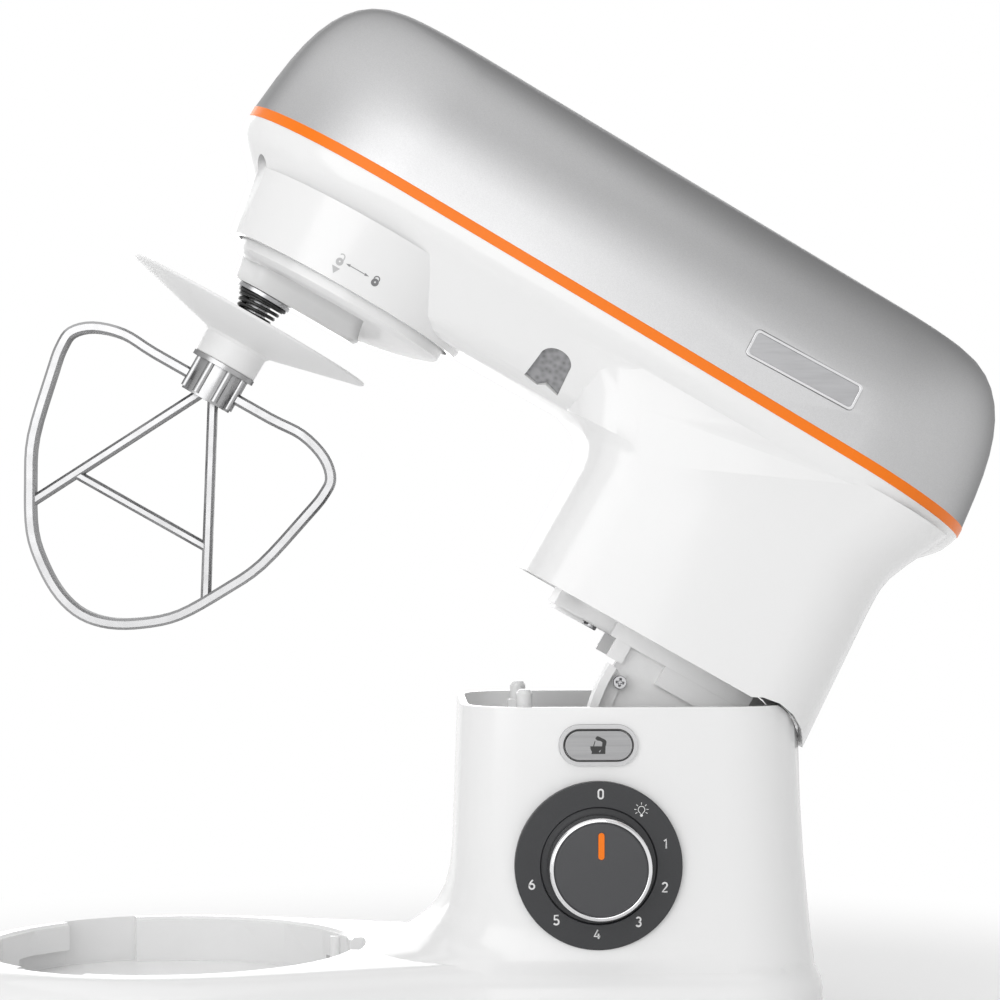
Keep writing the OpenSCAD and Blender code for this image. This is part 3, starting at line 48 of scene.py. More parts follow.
mm = 0.001
headPose = {"hinge": (113, 0, 124), "raised": 29.5}  # the hinge pin in mm, and degrees above the level head
hinge = Vector(headPose["hinge"]) * mm
raisedTurn = Matrix.Rotation(math.radians(headPose["raised"]), 4, "Y")
headTurn = Matrix.Translation(hinge) @ raisedTurn @ Matrix.Translation(-hinge)

# place in metres, lens and sensor in mm, and how far it looks up and to the right in degrees
camera = {"place": (-0.0331, -1.144, 0.2206), "lens": 95.8, "sensor": 36, "up": 0.47, "right": 2.26}


def addCamera():
    data = bpy.data.cameras.new("camera")
    data.lens = camera["lens"]
    data.sensor_width = camera["sensor"]
    eye = bpy.data.objects.new("camera", data)
    eye.location = camera["place"]
    eye.rotation_euler = (math.radians(90 + camera["up"]), 0, math.radians(-camera["right"]))
    bpy.context.scene.collection.objects.link(eye)
    bpy.context.scene.camera = eye


studio = {
    "floorSize": 6, "floorColour": (0.93, 0.93, 0.93, 1), "floorFade": (0.28, 0.5), "world": 0.46,
    "sky": (0.2, 0.9, 0.3),  # height at which the reflected sky starts to darken, where it ends, how dark
    "lamps": [
        # name, place, aim, width, height, power
        ("keyLeft", (-1.0, -2.5, 0.8), (0, 0, 0.22), 3.0, 2.2, 37),
        ("overhead", (-0.25, -0.1, 1.9), (0, 0, 0.2), 3.0, 2.4, 18),
        ("rimBack", (-0.3, 2.3, 0.9), (0, 0, 0.25), 2.4, 1.6, 18)],
}


def shownRays(tree):
    # 1 for the rays that show the surroundings: seen directly, mirrored or through glass
    path = tree.nodes.new("ShaderNodeLightPath")
    mirrored = addNode(tree, "ShaderNodeMath", operation="MAXIMUM")
    through = addNode(tree, "ShaderNodeMath", operation="MAXIMUM")
    tree.links.new(path.outputs["Is Camera Ray"], mirrored.inputs[0])
    tree.links.new(path.outputs["Is Glossy Ray"], mirrored.inputs[1])
    tree.links.new(mirrored.outputs[0], through.inputs[0])
    tree.links.new(path.outputs["Is Transmission Ray"], through.inputs[1])
    return through.outputs[0]


def addWorld():
    # lights at one strength, and shows as white that darkens upwards
    world = bpy.data.worlds.new("studio")
    bpy.context.scene.world = world
    world.use_nodes = True
    tree = world.node_tree
    background = tree.nodes["Background"]
    background.inputs["Color"].default_value = (1, 1, 1, 1)
    level = tree.nodes.new("ShaderNodeMapRange")
    sky = tree.nodes.new("ShaderNodeMapRange")
    where = tree.nodes.new("ShaderNodeTexCoord")
    split = tree.nodes.new("ShaderNodeSeparateXYZ")
    lowest, highest, darkest = studio["sky"]
    sky.inputs["From Min"].default_value = lowest
    sky.inputs["From Max"].default_value = highest
    sky.inputs["To Min"].default_value = 1.0
    sky.inputs["To Max"].default_value = darkest
    level.inputs["To Min"].default_value = studio["world"]
    tree.links.new(shownRays(tree), level.inputs["Value"])
    tree.links.new(where.outputs["Generated"], split.inputs[0])
    tree.links.new(split.outputs["Z"], sky.inputs["Value"])
    tree.links.new(sky.outputs[0], level.inputs["To Max"])
    tree.links.new(level.outputs[0], background.inputs["Strength"])


def addStudio():
    bm = bmesh.new()
    bmesh.ops.create_grid(bm, x_segments=1, y_segments=1, size=studio["floorSize"])
    floor = finishMesh(bm, "floor")
    floor.data.materials.append(floorMaterial())
    addWorld()
    for name, place, aim, width, height, power in studio["lamps"]:
        data = bpy.data.lights.new(name, "AREA")
        data.shape = "RECTANGLE"
        data.size, data.size_y, data.energy = width, height, power
        lamp = bpy.data.objects.new(name, data)
        lamp.location = place
        lamp.rotation_euler = (Vector(aim) - Vector(place)).to_track_quat("-Z", "Y").to_euler()
        bpy.context.scene.collection.objects.link(lamp)


def finishMesh(bm, name, sharpAngle=None):
    if sharpAngle is not None:
        for edge in bm.edges:
            edge.smooth = len(edge.link_faces) == 2 and edge.calc_face_angle(0) < math.radians(sharpAngle)
        for face in bm.faces:
            face.smooth = True
    mesh = bpy.data.meshes.new(name)
    bm.to_mesh(mesh)
    bm.free()
    piece = bpy.data.objects.new(name, mesh)
    bpy.context.scene.collection.objects.link(piece)
    return piece


def addBevel(piece, width, angle):
    edge = piece.modifiers.new("edge", "BEVEL")
    edge.width, edge.segments = width * mm, 2
    edge.limit_method = "ANGLE"
    edge.angle_limit = math.radians(angle)
    edge.harden_normals = True
    edge.use_clamp_overlap = True
    edge.miter_outer = "MITER_ARC"


def newGroup(name, inputs, outputs):
    group = bpy.data.node_groups.new(name, "ShaderNodeTree")
    for label, kind, value in inputs:
        socket = group.interface.new_socket(label, in_out="INPUT", socket_type=kind)
        if value is not None:
            socket.default_value = value
    for label, kind in outputs:
        group.interface.new_socket(label, in_out="OUTPUT", socket_type=kind)
    enter = group.nodes.new("NodeGroupInput")
    leave = group.nodes.new("NodeGroupOutput")
    return group, enter, leave


def addNode(tree, kind, **settings):
    node = tree.nodes.new(kind)
    for key, value in settings.items():
        if key in node.inputs:
            node.inputs[key].default_value = value
        else:
            setattr(node, key, value)
    return node


noiseSpan = (0.3, 0.7)  # the part of a noise's values that is spread over a range


def spreadNoise(group, enter, leave, noise):
    # the noise, spread between the group's Low and High, becomes its Value
    level = addNode(group, "ShaderNodeMapRange")
    level.inputs["From Min"].default_value, level.inputs["From Max"].default_value = noiseSpan
    group.links.new(noise.outputs["Fac"], level.inputs["Value"])
    group.links.new(enter.outputs["Low"], level.inputs["To Min"])
    group.links.new(enter.outputs["High"], level.inputs["To Max"])
    group.links.new(level.outputs[0], leave.inputs["Value"])


def mouldedGroup():
    # fine moulded skin: a value that wanders slowly and a height of very fine grain
    group, enter, leave = newGroup("mouldedSkin", [
        ("Vector", "NodeSocketVector", None), ("Cloud Scale", "NodeSocketFloat", 18.0),
        ("Grain Scale", "NodeSocketFloat", 1400.0), ("Low", "NodeSocketFloat", 0.2),
        ("High", "NodeSocketFloat", 0.3)],
        [("Value", "NodeSocketFloat"), ("Height", "NodeSocketFloat")])
    cloud = addNode(group, "ShaderNodeTexNoise", Detail=4.0)
    grain = addNode(group, "ShaderNodeTexNoise", Detail=2.0)
    links = group.links
    links.new(enter.outputs["Vector"], cloud.inputs["Vector"])
    links.new(enter.outputs["Cloud Scale"], cloud.inputs["Scale"])
    links.new(enter.outputs["Vector"], grain.inputs["Vector"])
    links.new(enter.outputs["Grain Scale"], grain.inputs["Scale"])
    spreadNoise(group, enter, leave, cloud)
    links.new(grain.outputs["Fac"], leave.inputs["Height"])
    return group


def brushedGroup():
    # long streaks: the coordinates are stretched so that noise runs along one axis
    group, enter, leave = newGroup("brushedStreaks", [
        ("Vector", "NodeSocketVector", None), ("Stretch", "NodeSocketVector", (20, 900, 900)),
        ("Low", "NodeSocketFloat", 0.25), ("High", "NodeSocketFloat", 0.45)],
        [("Value", "NodeSocketFloat"), ("Height", "NodeSocketFloat")])
    stretched = addNode(group, "ShaderNodeVectorMath", operation="MULTIPLY")
    streak = addNode(group, "ShaderNodeTexNoise", Scale=1.0, Detail=3.0, Roughness=0.65)
    links = group.links
    links.new(enter.outputs["Vector"], stretched.inputs[0])
    links.new(enter.outputs["Stretch"], stretched.inputs[1])
    links.new(stretched.outputs[0], streak.inputs["Vector"])
    spreadNoise(group, enter, leave, streak)
    links.new(streak.outputs["Fac"], leave.inputs["Height"])
    return group


def flakeGroup():
    # metallic paint: tiny cells that differ in brightness, each with a height of its own
    group, enter, leave = newGroup("paintFlakes", [
        ("Vector", "NodeSocketVector", None), ("Scale", "NodeSocketFloat", 2600.0),
        ("Colour", "NodeSocketColor", (0.5, 0.5, 0.5, 1)), ("Sparkle", "NodeSocketFloat", 0.35)],
        [("Colour", "NodeSocketColor"), ("Height", "NodeSocketFloat")])
    cells = addNode(group, "ShaderNodeTexVoronoi")
    spread = addNode(group, "ShaderNodeSeparateColor")
    level = addNode(group, "ShaderNodeMapRange")
    darker = addNode(group, "ShaderNodeMath", operation="SUBTRACT")
    darker.inputs[0].default_value = 1.0
    # a colour mix has its factor at 0 and its two colours at 6 and 7
    tint = addNode(group, "ShaderNodeMix", data_type="RGBA", blend_type="MULTIPLY")
    tint.inputs[0].default_value = 1.0
    links = group.links
    links.new(enter.outputs["Vector"], cells.inputs["Vector"])
    links.new(enter.outputs["Scale"], cells.inputs["Scale"])
    links.new(cells.outputs["Color"], spread.inputs["Color"])
    links.new(enter.outputs["Sparkle"], darker.inputs[1])
    links.new(spread.outputs["Red"], level.inputs["Value"])
    links.new(darker.outputs[0], level.inputs["To Min"])
    links.new(enter.outputs["Colour"], tint.inputs[6])
    links.new(level.outputs[0], tint.inputs[7])
    links.new(tint.outputs[2], leave.inputs["Colour"])
    links.new(spread.outputs["Green"], leave.inputs["Height"])
    return group


groupMakers = {"moulded": mouldedGroup, "brushed": brushedGroup, "flakes": flakeGroup}
groups = {}


def groupNode(tree, name):
    if name not in groups:
        groups[name] = groupMakers[name]()
    node = tree.nodes.new("ShaderNodeGroup")
    node.node_tree = groups[name]
    return node


def newMaterial(name):
    material = bpy.data.materials.new(name)
    material.use_nodes = True
    tree = material.node_tree
    return material, tree, tree.nodes["Principled BSDF"]


def setShader(shader, values):
    for key, value in values.items():
        shader.inputs[key].default_value = value


bumpDepth = {"moulded": 0.05, "brushed": 0.03, "flakes": 0.01, "prisms": 0.4}  # mm


def addBump(tree, shader, height, strength, kind):
    bump = tree.nodes.new("ShaderNodeBump")
    bump.inputs["Strength"].default_value = strength
    bump.inputs["Distance"].default_value = bumpDepth[kind] * mm
    tree.links.new(height, bump.inputs["Height"])
    tree.links.new(bump.outputs["Normal"], shader.inputs["Normal"])


def mouldedMaterial(name, colour, rough, bump=0.04, grain=1400.0, cloud=18.0, tint=0.03, **more):
    material, tree, shader = newMaterial(name)
    where = tree.nodes.new("ShaderNodeTexCoord")
    skin = groupNode(tree, "moulded")
    setShader(skin, {"Grain Scale": grain, "Cloud Scale": cloud, "Low": rough[0], "High": rough[1]})
    tree.links.new(where.outputs["Object"], skin.inputs["Vector"])
    tree.links.new(skin.outputs["Value"], shader.inputs["Roughness"])
    wander = addNode(tree, "ShaderNodeMix", data_type="RGBA")
    wander.inputs[6].default_value = (*colour, 1)
    wander.inputs[7].default_value = (*[c * (1 - tint) for c in colour], 1)
    tree.links.new(skin.outputs["Height"], wander.inputs[0])
    tree.links.new(wander.outputs[2], shader.inputs["Base Color"])
    setShader(shader, more)
    addBump(tree, shader, skin.outputs["Height"], bump, "moulded")
    return material


def brushedMaterial(name, colour, rough, stretch, bump=0.15, dark=0.2, **more):
    material, tree, shader = newMaterial(name)
    where = tree.nodes.new("ShaderNodeTexCoord")
    streaks = groupNode(tree, "brushed")
    setShader(streaks, {"Stretch": stretch, "Low": rough[0], "High": rough[1]})
    tree.links.new(where.outputs["Object"], streaks.inputs["Vector"])
    tree.links.new(streaks.outputs["Value"], shader.inputs["Roughness"])
    shade = addNode(tree, "ShaderNodeMix", data_type="RGBA")
    shade.inputs[6].default_value = (*[c * (1 - dark) for c in colour], 1)
    shade.inputs[7].default_value = (*colour, 1)
    tree.links.new(streaks.outputs["Height"], shade.inputs[0])
    tree.links.new(shade.outputs[2], shader.inputs["Base Color"])
    setShader(shader, {"Metallic": 1.0, **more})
    addBump(tree, shader, streaks.outputs["Height"], bump, "brushed")
    return material


coverPaint = {
    "flakes": {"Colour": (0.56, 0.56, 0.565, 1), "Sparkle": 0.12, "Scale": 5200.0},
    "skin": {"Low": 0.4, "High": 0.46, "Cloud Scale": 9.0},
    "shader": {"Metallic": 1.0, "Specular Tint": (0.12, 0.12, 0.12, 1),
               "Coat Weight": 0.12, "Coat Roughness": 0.1},
    "bump": 0.03}


def silverPaint(name):
    material, tree, shader = newMaterial(name)
    where = tree.nodes.new("ShaderNodeTexCoord")
    flakes = groupNode(tree, "flakes")
    setShader(flakes, coverPaint["flakes"])
    skin = groupNode(tree, "moulded")
    setShader(skin, coverPaint["skin"])
    tree.links.new(where.outputs["Object"], flakes.inputs["Vector"])
    tree.links.new(where.outputs["Object"], skin.inputs["Vector"])
    tree.links.new(flakes.outputs["Colour"], shader.inputs["Base Color"])
    tree.links.new(skin.outputs["Value"], shader.inputs["Roughness"])
    setShader(shader, coverPaint["shader"])
    addBump(tree, shader, flakes.outputs["Height"], coverPaint["bump"], "flakes")
    return material


lampWindow = {
    "prismScale": 420.0, "dark": (0.15, 0.15, 0.155, 1), "pale": (0.32, 0.32, 0.33, 1), "paleFrom": 0.6,
    "shader": {"Roughness": 0.25, "Coat Weight": 0.5, "Coat Roughness": 0.05}, "bump": 0.35}


def lensMaterial(name):
    # frosted window with a pattern of small prisms
    material, tree, shader = newMaterial(name)
    where = tree.nodes.new("ShaderNodeTexCoord")
    cells = addNode(tree, "ShaderNodeTexVoronoi", Scale=lampWindow["prismScale"], feature="SMOOTH_F1")
    shade = tree.nodes.new("ShaderNodeValToRGB")
    shade.color_ramp.elements[0].color = lampWindow["dark"]
    shade.color_ramp.elements[1].color = lampWindow["pale"]
    shade.color_ramp.elements[1].position = lampWindow["paleFrom"]
    tree.links.new(where.outputs["Object"], cells.inputs["Vector"])
    tree.links.new(cells.outputs["Distance"], shade.inputs["Fac"])
    tree.links.new(shade.outputs["Color"], shader.inputs["Base Color"])
    setShader(shader, lampWindow["shader"])
    addBump(tree, shader, cells.outputs["Distance"], lampWindow["bump"], "prisms")
    return material


def floorMaterial():
    # shaded beside the mixer, so that its shadow shows, and plain white farther out
    material, tree, shader = newMaterial("paleFloor")
    setShader(shader, {"Base Color": studio["floorColour"], "Roughness": 0.9, "Specular IOR Level": 0.1})
    where = tree.nodes.new("ShaderNodeTexCoord")
    far = addNode(tree, "ShaderNodeVectorMath", operation="LENGTH")
    fade = addNode(tree, "ShaderNodeMapRange", interpolation_type="SMOOTHSTEP")
    fade.inputs["From Min"].default_value, fade.inputs["From Max"].default_value = studio["floorFade"]
    share = addNode(tree, "ShaderNodeMath", operation="MULTIPLY")
    plain = addNode(tree, "ShaderNodeEmission", Color=(1, 1, 1, 1), Strength=1.0)
    blend = tree.nodes.new("ShaderNodeMixShader")
    links = tree.links
    links.new(where.outputs["Object"], far.inputs[0])
    links.new(far.outputs["Value"], fade.inputs["Value"])
    links.new(shownRays(tree), share.inputs[0])
    links.new(fade.outputs[0], share.inputs[1])
    links.new(share.outputs[0], blend.inputs[0])
    links.new(shader.outputs[0], blend.inputs[1])
    links.new(plain.outputs[0], blend.inputs[2])
    links.new(blend.outputs[0], tree.nodes["Material Output"].inputs["Surface"])
    return material


mouldings = {
    # finish: colour, range of roughness, what differs from the usual moulded skin
    "whiteGloss": ((0.84, 0.84, 0.84), (0.16, 0.24),
                   {"bump": 0.02, "tint": 0.015, "Coat Weight": 0.25, "Coat Roughness": 0.06}),
    "whiteSatin": ((0.88, 0.88, 0.88), (0.38, 0.5), {"bump": 0.08}),
    "discWhite": ((0.82, 0.82, 0.82), (0.4, 0.5), {"bump": 0.01}),
    "greyPlastic": ((0.36, 0.37, 0.38), (0.45, 0.6), {"bump": 0.2}),
    "bezelGrey": ((0.62, 0.62, 0.625), (0.3, 0.4), {"bump": 0.08}),
    "dialGrey": ((0.030, 0.031, 0.034), (0.34, 0.46), {"bump": 0.25, "grain": 2600.0, "tint": 0.35}),
    "knobGrey": ((0.055, 0.056, 0.060), (0.36, 0.46), {"bump": 0.12, "grain": 2600.0, "tint": 0.2}),
    "blackPlastic": ((0.012, 0.012, 0.012), (0.4, 0.55), {"bump": 0.2}),
    "rubber": ((0.025, 0.025, 0.025), (0.65, 0.85), {"bump": 0.4, "grain": 900.0}),
    "orangeGloss": ((0.92, 0.2, 0.004), (0.3, 0.4), {"bump": 0.02, "tint": 0.04, "Specular IOR Level": 0.3}),
    "nylon": ((0.66, 0.63, 0.52), (0.4, 0.5), {"bump": 0.1}),
    "board": ((0.02, 0.13, 0.05), (0.3, 0.45), {"bump": 0.2, "grain": 500.0, "tint": 0.3}),
    "printGrey": ((0.2, 0.2, 0.205), (0.5, 0.6), {}),
    "printWhite": ((0.8, 0.8, 0.8), (0.5, 0.6), {}),
    # the next two are the skirt's one grey print made lighter, as painted highlight lying on parts of it
    "printHalfGlare": ((0.28, 0.28, 0.285), (0.5, 0.6), {}),
    "printPaintedGlare": ((0.5, 0.5, 0.505), (0.5, 0.6), {}),
    "printDark": ((0.03, 0.03, 0.03), (0.5, 0.6), {})}

metals = {
    # finish: colour, range of roughness, stretch of the streaks, what differs from the usual metal
    "chrome": ((0.80, 0.80, 0.81), (0.06, 0.14), (60, 60, 60), {"bump": 0.02, "dark": 0.05}),
    "badgeMetal": ((0.46, 0.46, 0.47), (0.28, 0.42), (30, 900, 900), {"bump": 0.1}),
    "brushedButton": ((0.42, 0.42, 0.425), (0.3, 0.5), (14, 700, 700), {"bump": 0.2, "dark": 0.5}),
    "polished": ((0.44, 0.44, 0.445), (0.2, 0.36), (90, 90, 90),
                 {"bump": 0.03, "dark": 0.15, "Specular Tint": (0.2, 0.2, 0.2, 1)}),
    "castAlloy": ((0.5, 0.5, 0.5), (0.4, 0.6), (500, 500, 500), {"bump": 0.4}),
    "steel": ((0.50, 0.50, 0.51), (0.22, 0.38), (90, 90, 1200), {"bump": 0.12}),
    "zinc": ((0.52, 0.52, 0.49), (0.3, 0.5), (220, 220, 220), {"bump": 0.2}),
    "darkSteel": ((0.07, 0.07, 0.07), (0.25, 0.4), (300, 300, 300), {"bump": 0.1}),
    "laminations": ((0.26, 0.26, 0.27), (0.4, 0.6), (60, 60, 2400), {"bump": 0.5}),
    "copper": ((0.56, 0.22, 0.10), (0.25, 0.4), (900, 900, 900), {"bump": 0.4}),
    "bronze": ((0.52, 0.34, 0.14), (0.3, 0.45), (300, 300, 300), {"bump": 0.2})}


def makeMaterials():
    made = {"silverPaint": silverPaint("silverPaint"), "lens": lensMaterial("lens")}
    for name, (colour, rough, more) in mouldings.items():
        made[name] = mouldedMaterial(name, colour, rough, **more)
    for name, (colour, rough, stretch, more) in metals.items():
        made[name] = brushedMaterial(name, colour, rough, stretch, **more)
    return made


# node: material, sharp angle, bevel in mm; a bevel of 0 leaves the edge as it is
dressing = {
    "base_shell": ("whiteGloss", 34, 0.5), "bottom_plate": ("greyPlastic", 30, 0.3),
    "rubber_feet": ("rubber", 30, 0.3), "locating_pins": ("whiteGloss", 30, 0.3),
    "hinge_brackets": ("zinc", 30, 0.3), "hinge_pin": ("steel", 30, 0.3),
    "dial_bezel": ("dialGrey", 30, 0.5), "button_bezel": ("bezelGrey", 30, 0.15),
    "speed_switch": ("blackPlastic", 30, 0.3), "control_board": ("board", 30, 0.2),
    "cord_gland": ("rubber", 30, 0.5), "lock_bracket": ("zinc", 30, 0.3), "lock_pin": ("steel", 30, 0.2),
    "release_button": ("brushedButton", 30, 0.7), "lock_lever": ("zinc", 30, 0.3),
    "dial_knob": ("knobGrey", 30, 0.3), "knob_ring": ("chrome", 30, 0.25),
    "knob_pointer": ("orangeGloss", 30, 0.1), "knob_shaft": ("steel", 30, 0.3),
    "top_cover": ("silverPaint", 34, 0.3), "trim_band": ("orangeGloss", 34, 0.3),
    "head_housing": ("whiteGloss", 30, 0.5), "badge_frame": ("chrome", 30, 0.25),
    "badge_plate": ("badgeMetal", 30, 0.1), "lamp_lens": ("lens", 30, 0.3),
    "lamp_board": ("board", 30, 0.1), "neck_plate": ("whiteSatin", 30, 0.4),
    "hinge_carrier": ("whiteSatin", 30, 0.5), "cover_screws": ("steel", 30, 0.3),
    "drive_chassis": ("castAlloy", 30, 0.3), "gearbox_lid": ("castAlloy", 30, 0.4),
    "ring_gear": ("steel", 30, 0), "bearings": ("bronze", 30, 0.2),
    "motor_stator": ("laminations", 30, 0.2), "field_windings": ("copper", 30, 1.2),
    "motor_brackets": ("castAlloy", 30, 0.4), "drive_screws": ("steel", 30, 0.2),
    "brush_holders": ("bronze", 30, 0.3), "drive_belt": ("rubber", 30, 0.2),
    "armature_shaft": ("steel", 30, 0.3), "armature_core": ("laminations", 30, 0.2),
    "commutator": ("copper", 30, 0), "motor_fan": ("blackPlastic", 30, 0.2),
    "motor_pulley": ("steel", 30, 0.1), "pinion_shaft": ("steel", 30, 0),
    "belt_pulley": ("blackPlastic", 30, 0.2), "spindle": ("steel", 30, 0.3),
    "main_gear": ("nylon", 30, 0), "planetary_hub": ("whiteGloss", 28, 0.4),
    "output_shaft": ("steel", 30, 0.3), "planet_gear": ("steel", 30, 0),
    "shaft_spring": ("darkSteel", 75, 0), "beater": ("polished", 28, 0.35),
    "splash_disc": ("discWhite", 30, 0.3)}


# lengths in mm, angles in degrees
meshCare = {"merge": 0.01, "curveMerge": 0.001, "flatAngle": 0.6, "leastBevelAngle": 30}
bodyOf = {name: body for body, names in frame["record"]["behaviour"]["bodies"].items() for name in names}
dressed = {}


def dressNodes():
    for name, (finish, sharp, bevel) in dressing.items():
        bm = bmesh.new()
        bm.from_mesh(nodes[name].data)
        bmesh.ops.remove_doubles(bm, verts=bm.verts, dist=meshCare["merge"] * mm)
        if bevel:
            flat = math.radians(meshCare["flatAngle"])
            bmesh.ops.dissolve_limit(bm, angle_limit=flat, verts=bm.verts, edges=bm.edges)
        piece = finishMesh(bm, name + "_dressed", sharp)
        piece.data.materials.append(materials[finish])
        if bevel:
            addBevel(piece, bevel, max(sharp, meshCare["leastBevelAngle"]))
        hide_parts(name)
        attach(piece, bodyOf[name])
        dressed[name] = piece


def arcPoints(x, y, r, start, end, steps):
    turns = [math.radians(start + (end - start) * k / steps) for k in range(steps + 1)]
    return [(x + r * math.cos(a), y + r * math.sin(a)) for a in turns]


def strokeLoop(x0, y0, x1, y1, width, steps=6):
    angle = math.degrees(math.atan2(y1 - y0, x1 - x0))
    farEnd = arcPoints(x1, y1, width / 2, angle - 90, angle + 90, steps)
    return farEnd + arcPoints(x0, y0, width / 2, angle + 90, angle + 270, steps)


def meshOfCurve(name, curve):
    holder = bpy.data.objects.new(name, curve)
    bpy.context.scene.collection.objects.link(holder)
    bpy.context.view_layer.update()
    bm = bmesh.new()
    bm.from_mesh(bpy.data.meshes.new_from_object(holder))
    bpy.data.objects.remove(holder)
    bmesh.ops.remove_doubles(bm, verts=bm.verts, dist=meshCare["curveMerge"] * mm)
    return bm


def outlineMesh(name, loops):
    curve = bpy.data.curves.new(name, "CURVE")
    curve.dimensions, curve.fill_mode = "2D", "BOTH"
    for loop in loops:
        spline = curve.splines.new("POLY")
        spline.points.add(len(loop) - 1)
        for point, (x, y) in zip(spline.points, loop):
            point.co = (x * mm, y * mm, 0, 1)
        spline.use_cyclic_u = True
    return meshOfCurve(name, curve)


# how deep a film sits and from how far out it is dropped in mm, and how thin a pen stroke is pressed
printFilm = {"sunk": 0.02, "reach": 8, "cuts": 2, "penFlat": 0.1}


def penMesh(name, strokes, width):
    # each stroke is a run of points drawn with a round pen and pressed flat
    curve = bpy.data.curves.new(name, "CURVE")
    curve.dimensions, curve.use_fill_caps = "3D", True
    curve.bevel_depth, curve.bevel_resolution = width / 2 * mm, 1
    for points, closed in strokes:
        spline = curve.splines.new("POLY")
        spline.points.add(len(points) - 1)
        for point, (x, y) in zip(spline.points, points):
            point.co = (x * mm, y * mm, 0, 1)
        spline.use_cyclic_u = closed
    bm = meshOfCurve(name, curve)
    bmesh.ops.scale(bm, vec=(1, 1, printFilm["penFlat"]), verts=bm.verts)
    return bm


def layPrint(bm, name, place, finish, body, onto=None, film=0.06, flat=True):
    # a printed mark is a closed film on the surface that carries it
    bmesh.ops.transform(bm, matrix=place, verts=bm.verts)
    outward = place.to_3x3().col[2].normalized()
    if onto is not None:
        bmesh.ops.subdivide_edges(bm, edges=bm.edges, cuts=printFilm["cuts"], use_grid_fill=True)
        surface = BVHTree.FromObject(onto, bpy.context.evaluated_depsgraph_get())
        for vert in bm.verts:
            hit = surface.ray_cast(vert.co + outward * printFilm["reach"] * mm, -outward)[0]
            if hit is not None:
                vert.co = hit
    if flat:
        bmesh.ops.translate(bm, vec=outward * -printFilm["sunk"] * mm, verts=bm.verts)
        made = bmesh.ops.extrude_face_region(bm, geom=bm.faces[:], use_keep_orig=True)
        lifted = [part for part in made["geom"] if isinstance(part, bmesh.types.BMVert)]
        bmesh.ops.translate(bm, vec=outward * film * mm, verts=lifted)
    bmesh.ops.recalc_face_normals(bm, faces=bm.faces)
    mark = finishMesh(bm, name)
    mark.data.materials.append(materials[finish])
    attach(mark, body)


def sidePlace(x, y, z):
    # drawing plane of the side that faces -Y: drawing X is +X, drawing Y is +Z
    turn = Matrix(((1, 0, 0), (0, 0, -1), (0, 1, 0))).to_4x4()
    return Matrix.Translation(Vector((x, y, z)) * mm) @ turn


dialPrint = {
    "centre": (50, 81.1), "face": -61.0, "ring": 28.55, "step": 36, "turn": 1.5, "pen": 0.74,
    "marks": ["0", "bulb", "1", "2", "3", "4", "5", "6"]}

bulbSign = {
    "glass": (1.5, 1.22), "neck": (0.5, 0.25, -1.75), "cap": (-2.35, 0.58), "drop": 0.5,
    "rays": (90, 45, 135, 2, 178, -33, 213), "ray": (2.15, 2.85, 0.26)}

numerals = {
    "0": [(arcPoints(0, 0.88, 0.96, 0, 180, 10) + arcPoints(0, -0.88, 0.96, 180, 360, 10), True)],
    "1": [([(-0.8, 1.15), (0.1, 1.84), (0.1, -1.84)], False)],
    "2": [(arcPoints(-0.02, 0.87, 0.97, 165, -38, 12) + [(-1.0, -1.84), (1.08, -1.84)], False)],
    "3": [(arcPoints(-0.05, 0.94, 0.9, 155, -90, 12), False),
          (arcPoints(-0.05, -0.88, 0.96, 90, -155, 12), False)],
    "4": [([(0.3, 1.84), (-1.15, -0.85), (1.25, -0.85)], False), ([(0.55, 0.3), (0.55, -1.84)], False)],
    "5": [([(0.9, 1.84), (-0.72, 1.84), (-0.86, 0.2)] + arcPoints(-0.08, -0.76, 1.08, 118, -150, 14), False)],
    "6": [(arcPoints(0, -0.8, 1.04, 0, 345, 23), True),
          ([(-1.03, -0.65), (-0.85, 0.15), (-0.4, 0.95), (0.42, 1.84)], False)]}


def bulbLoops():
    outer, inner = bulbSign["glass"]
    wide, narrow, foot = bulbSign["neck"]
    glass = arcPoints(0, 0, outer, -62, 242, 24) + [(-wide, foot), (-narrow, foot)]
    glass += arcPoints(0, 0, inner, 240, -60, 24) + [(narrow, foot), (wide, foot)]
    capHeight, capRadius = bulbSign["cap"]
    near, far, width = bulbSign["ray"]
    loops = [glass, arcPoints(0, capHeight, capRadius, 0, 345, 15)]
    for angle in bulbSign["rays"]:
        x, y = math.cos(math.radians(angle)), math.sin(math.radians(angle))
        loops.append(strokeLoop(near * x, near * y, far * x, far * y, width))
    return loops


def addDialMarks():
    for k, mark in enumerate(dialPrint["marks"]):
        angle = math.radians(90 - dialPrint["step"] * k - dialPrint["turn"])
        x = dialPrint["centre"][0] + dialPrint["ring"] * math.cos(angle)
        z = dialPrint["centre"][1] + dialPrint["ring"] * math.sin(angle)
        if mark == "bulb":
            bm = outlineMesh("dialBulb", bulbLoops())
            place = sidePlace(x, dialPrint["face"], z - bulbSign["drop"])
        else:
            bm = penMesh("dialNumeral" + mark, numerals[mark], dialPrint["pen"])
            place = sidePlace(x, dialPrint["face"], z)
        name = "dialMark" + mark.capitalize()
        layPrint(bm, name, place, "printWhite", "base", flat=mark == "bulb")


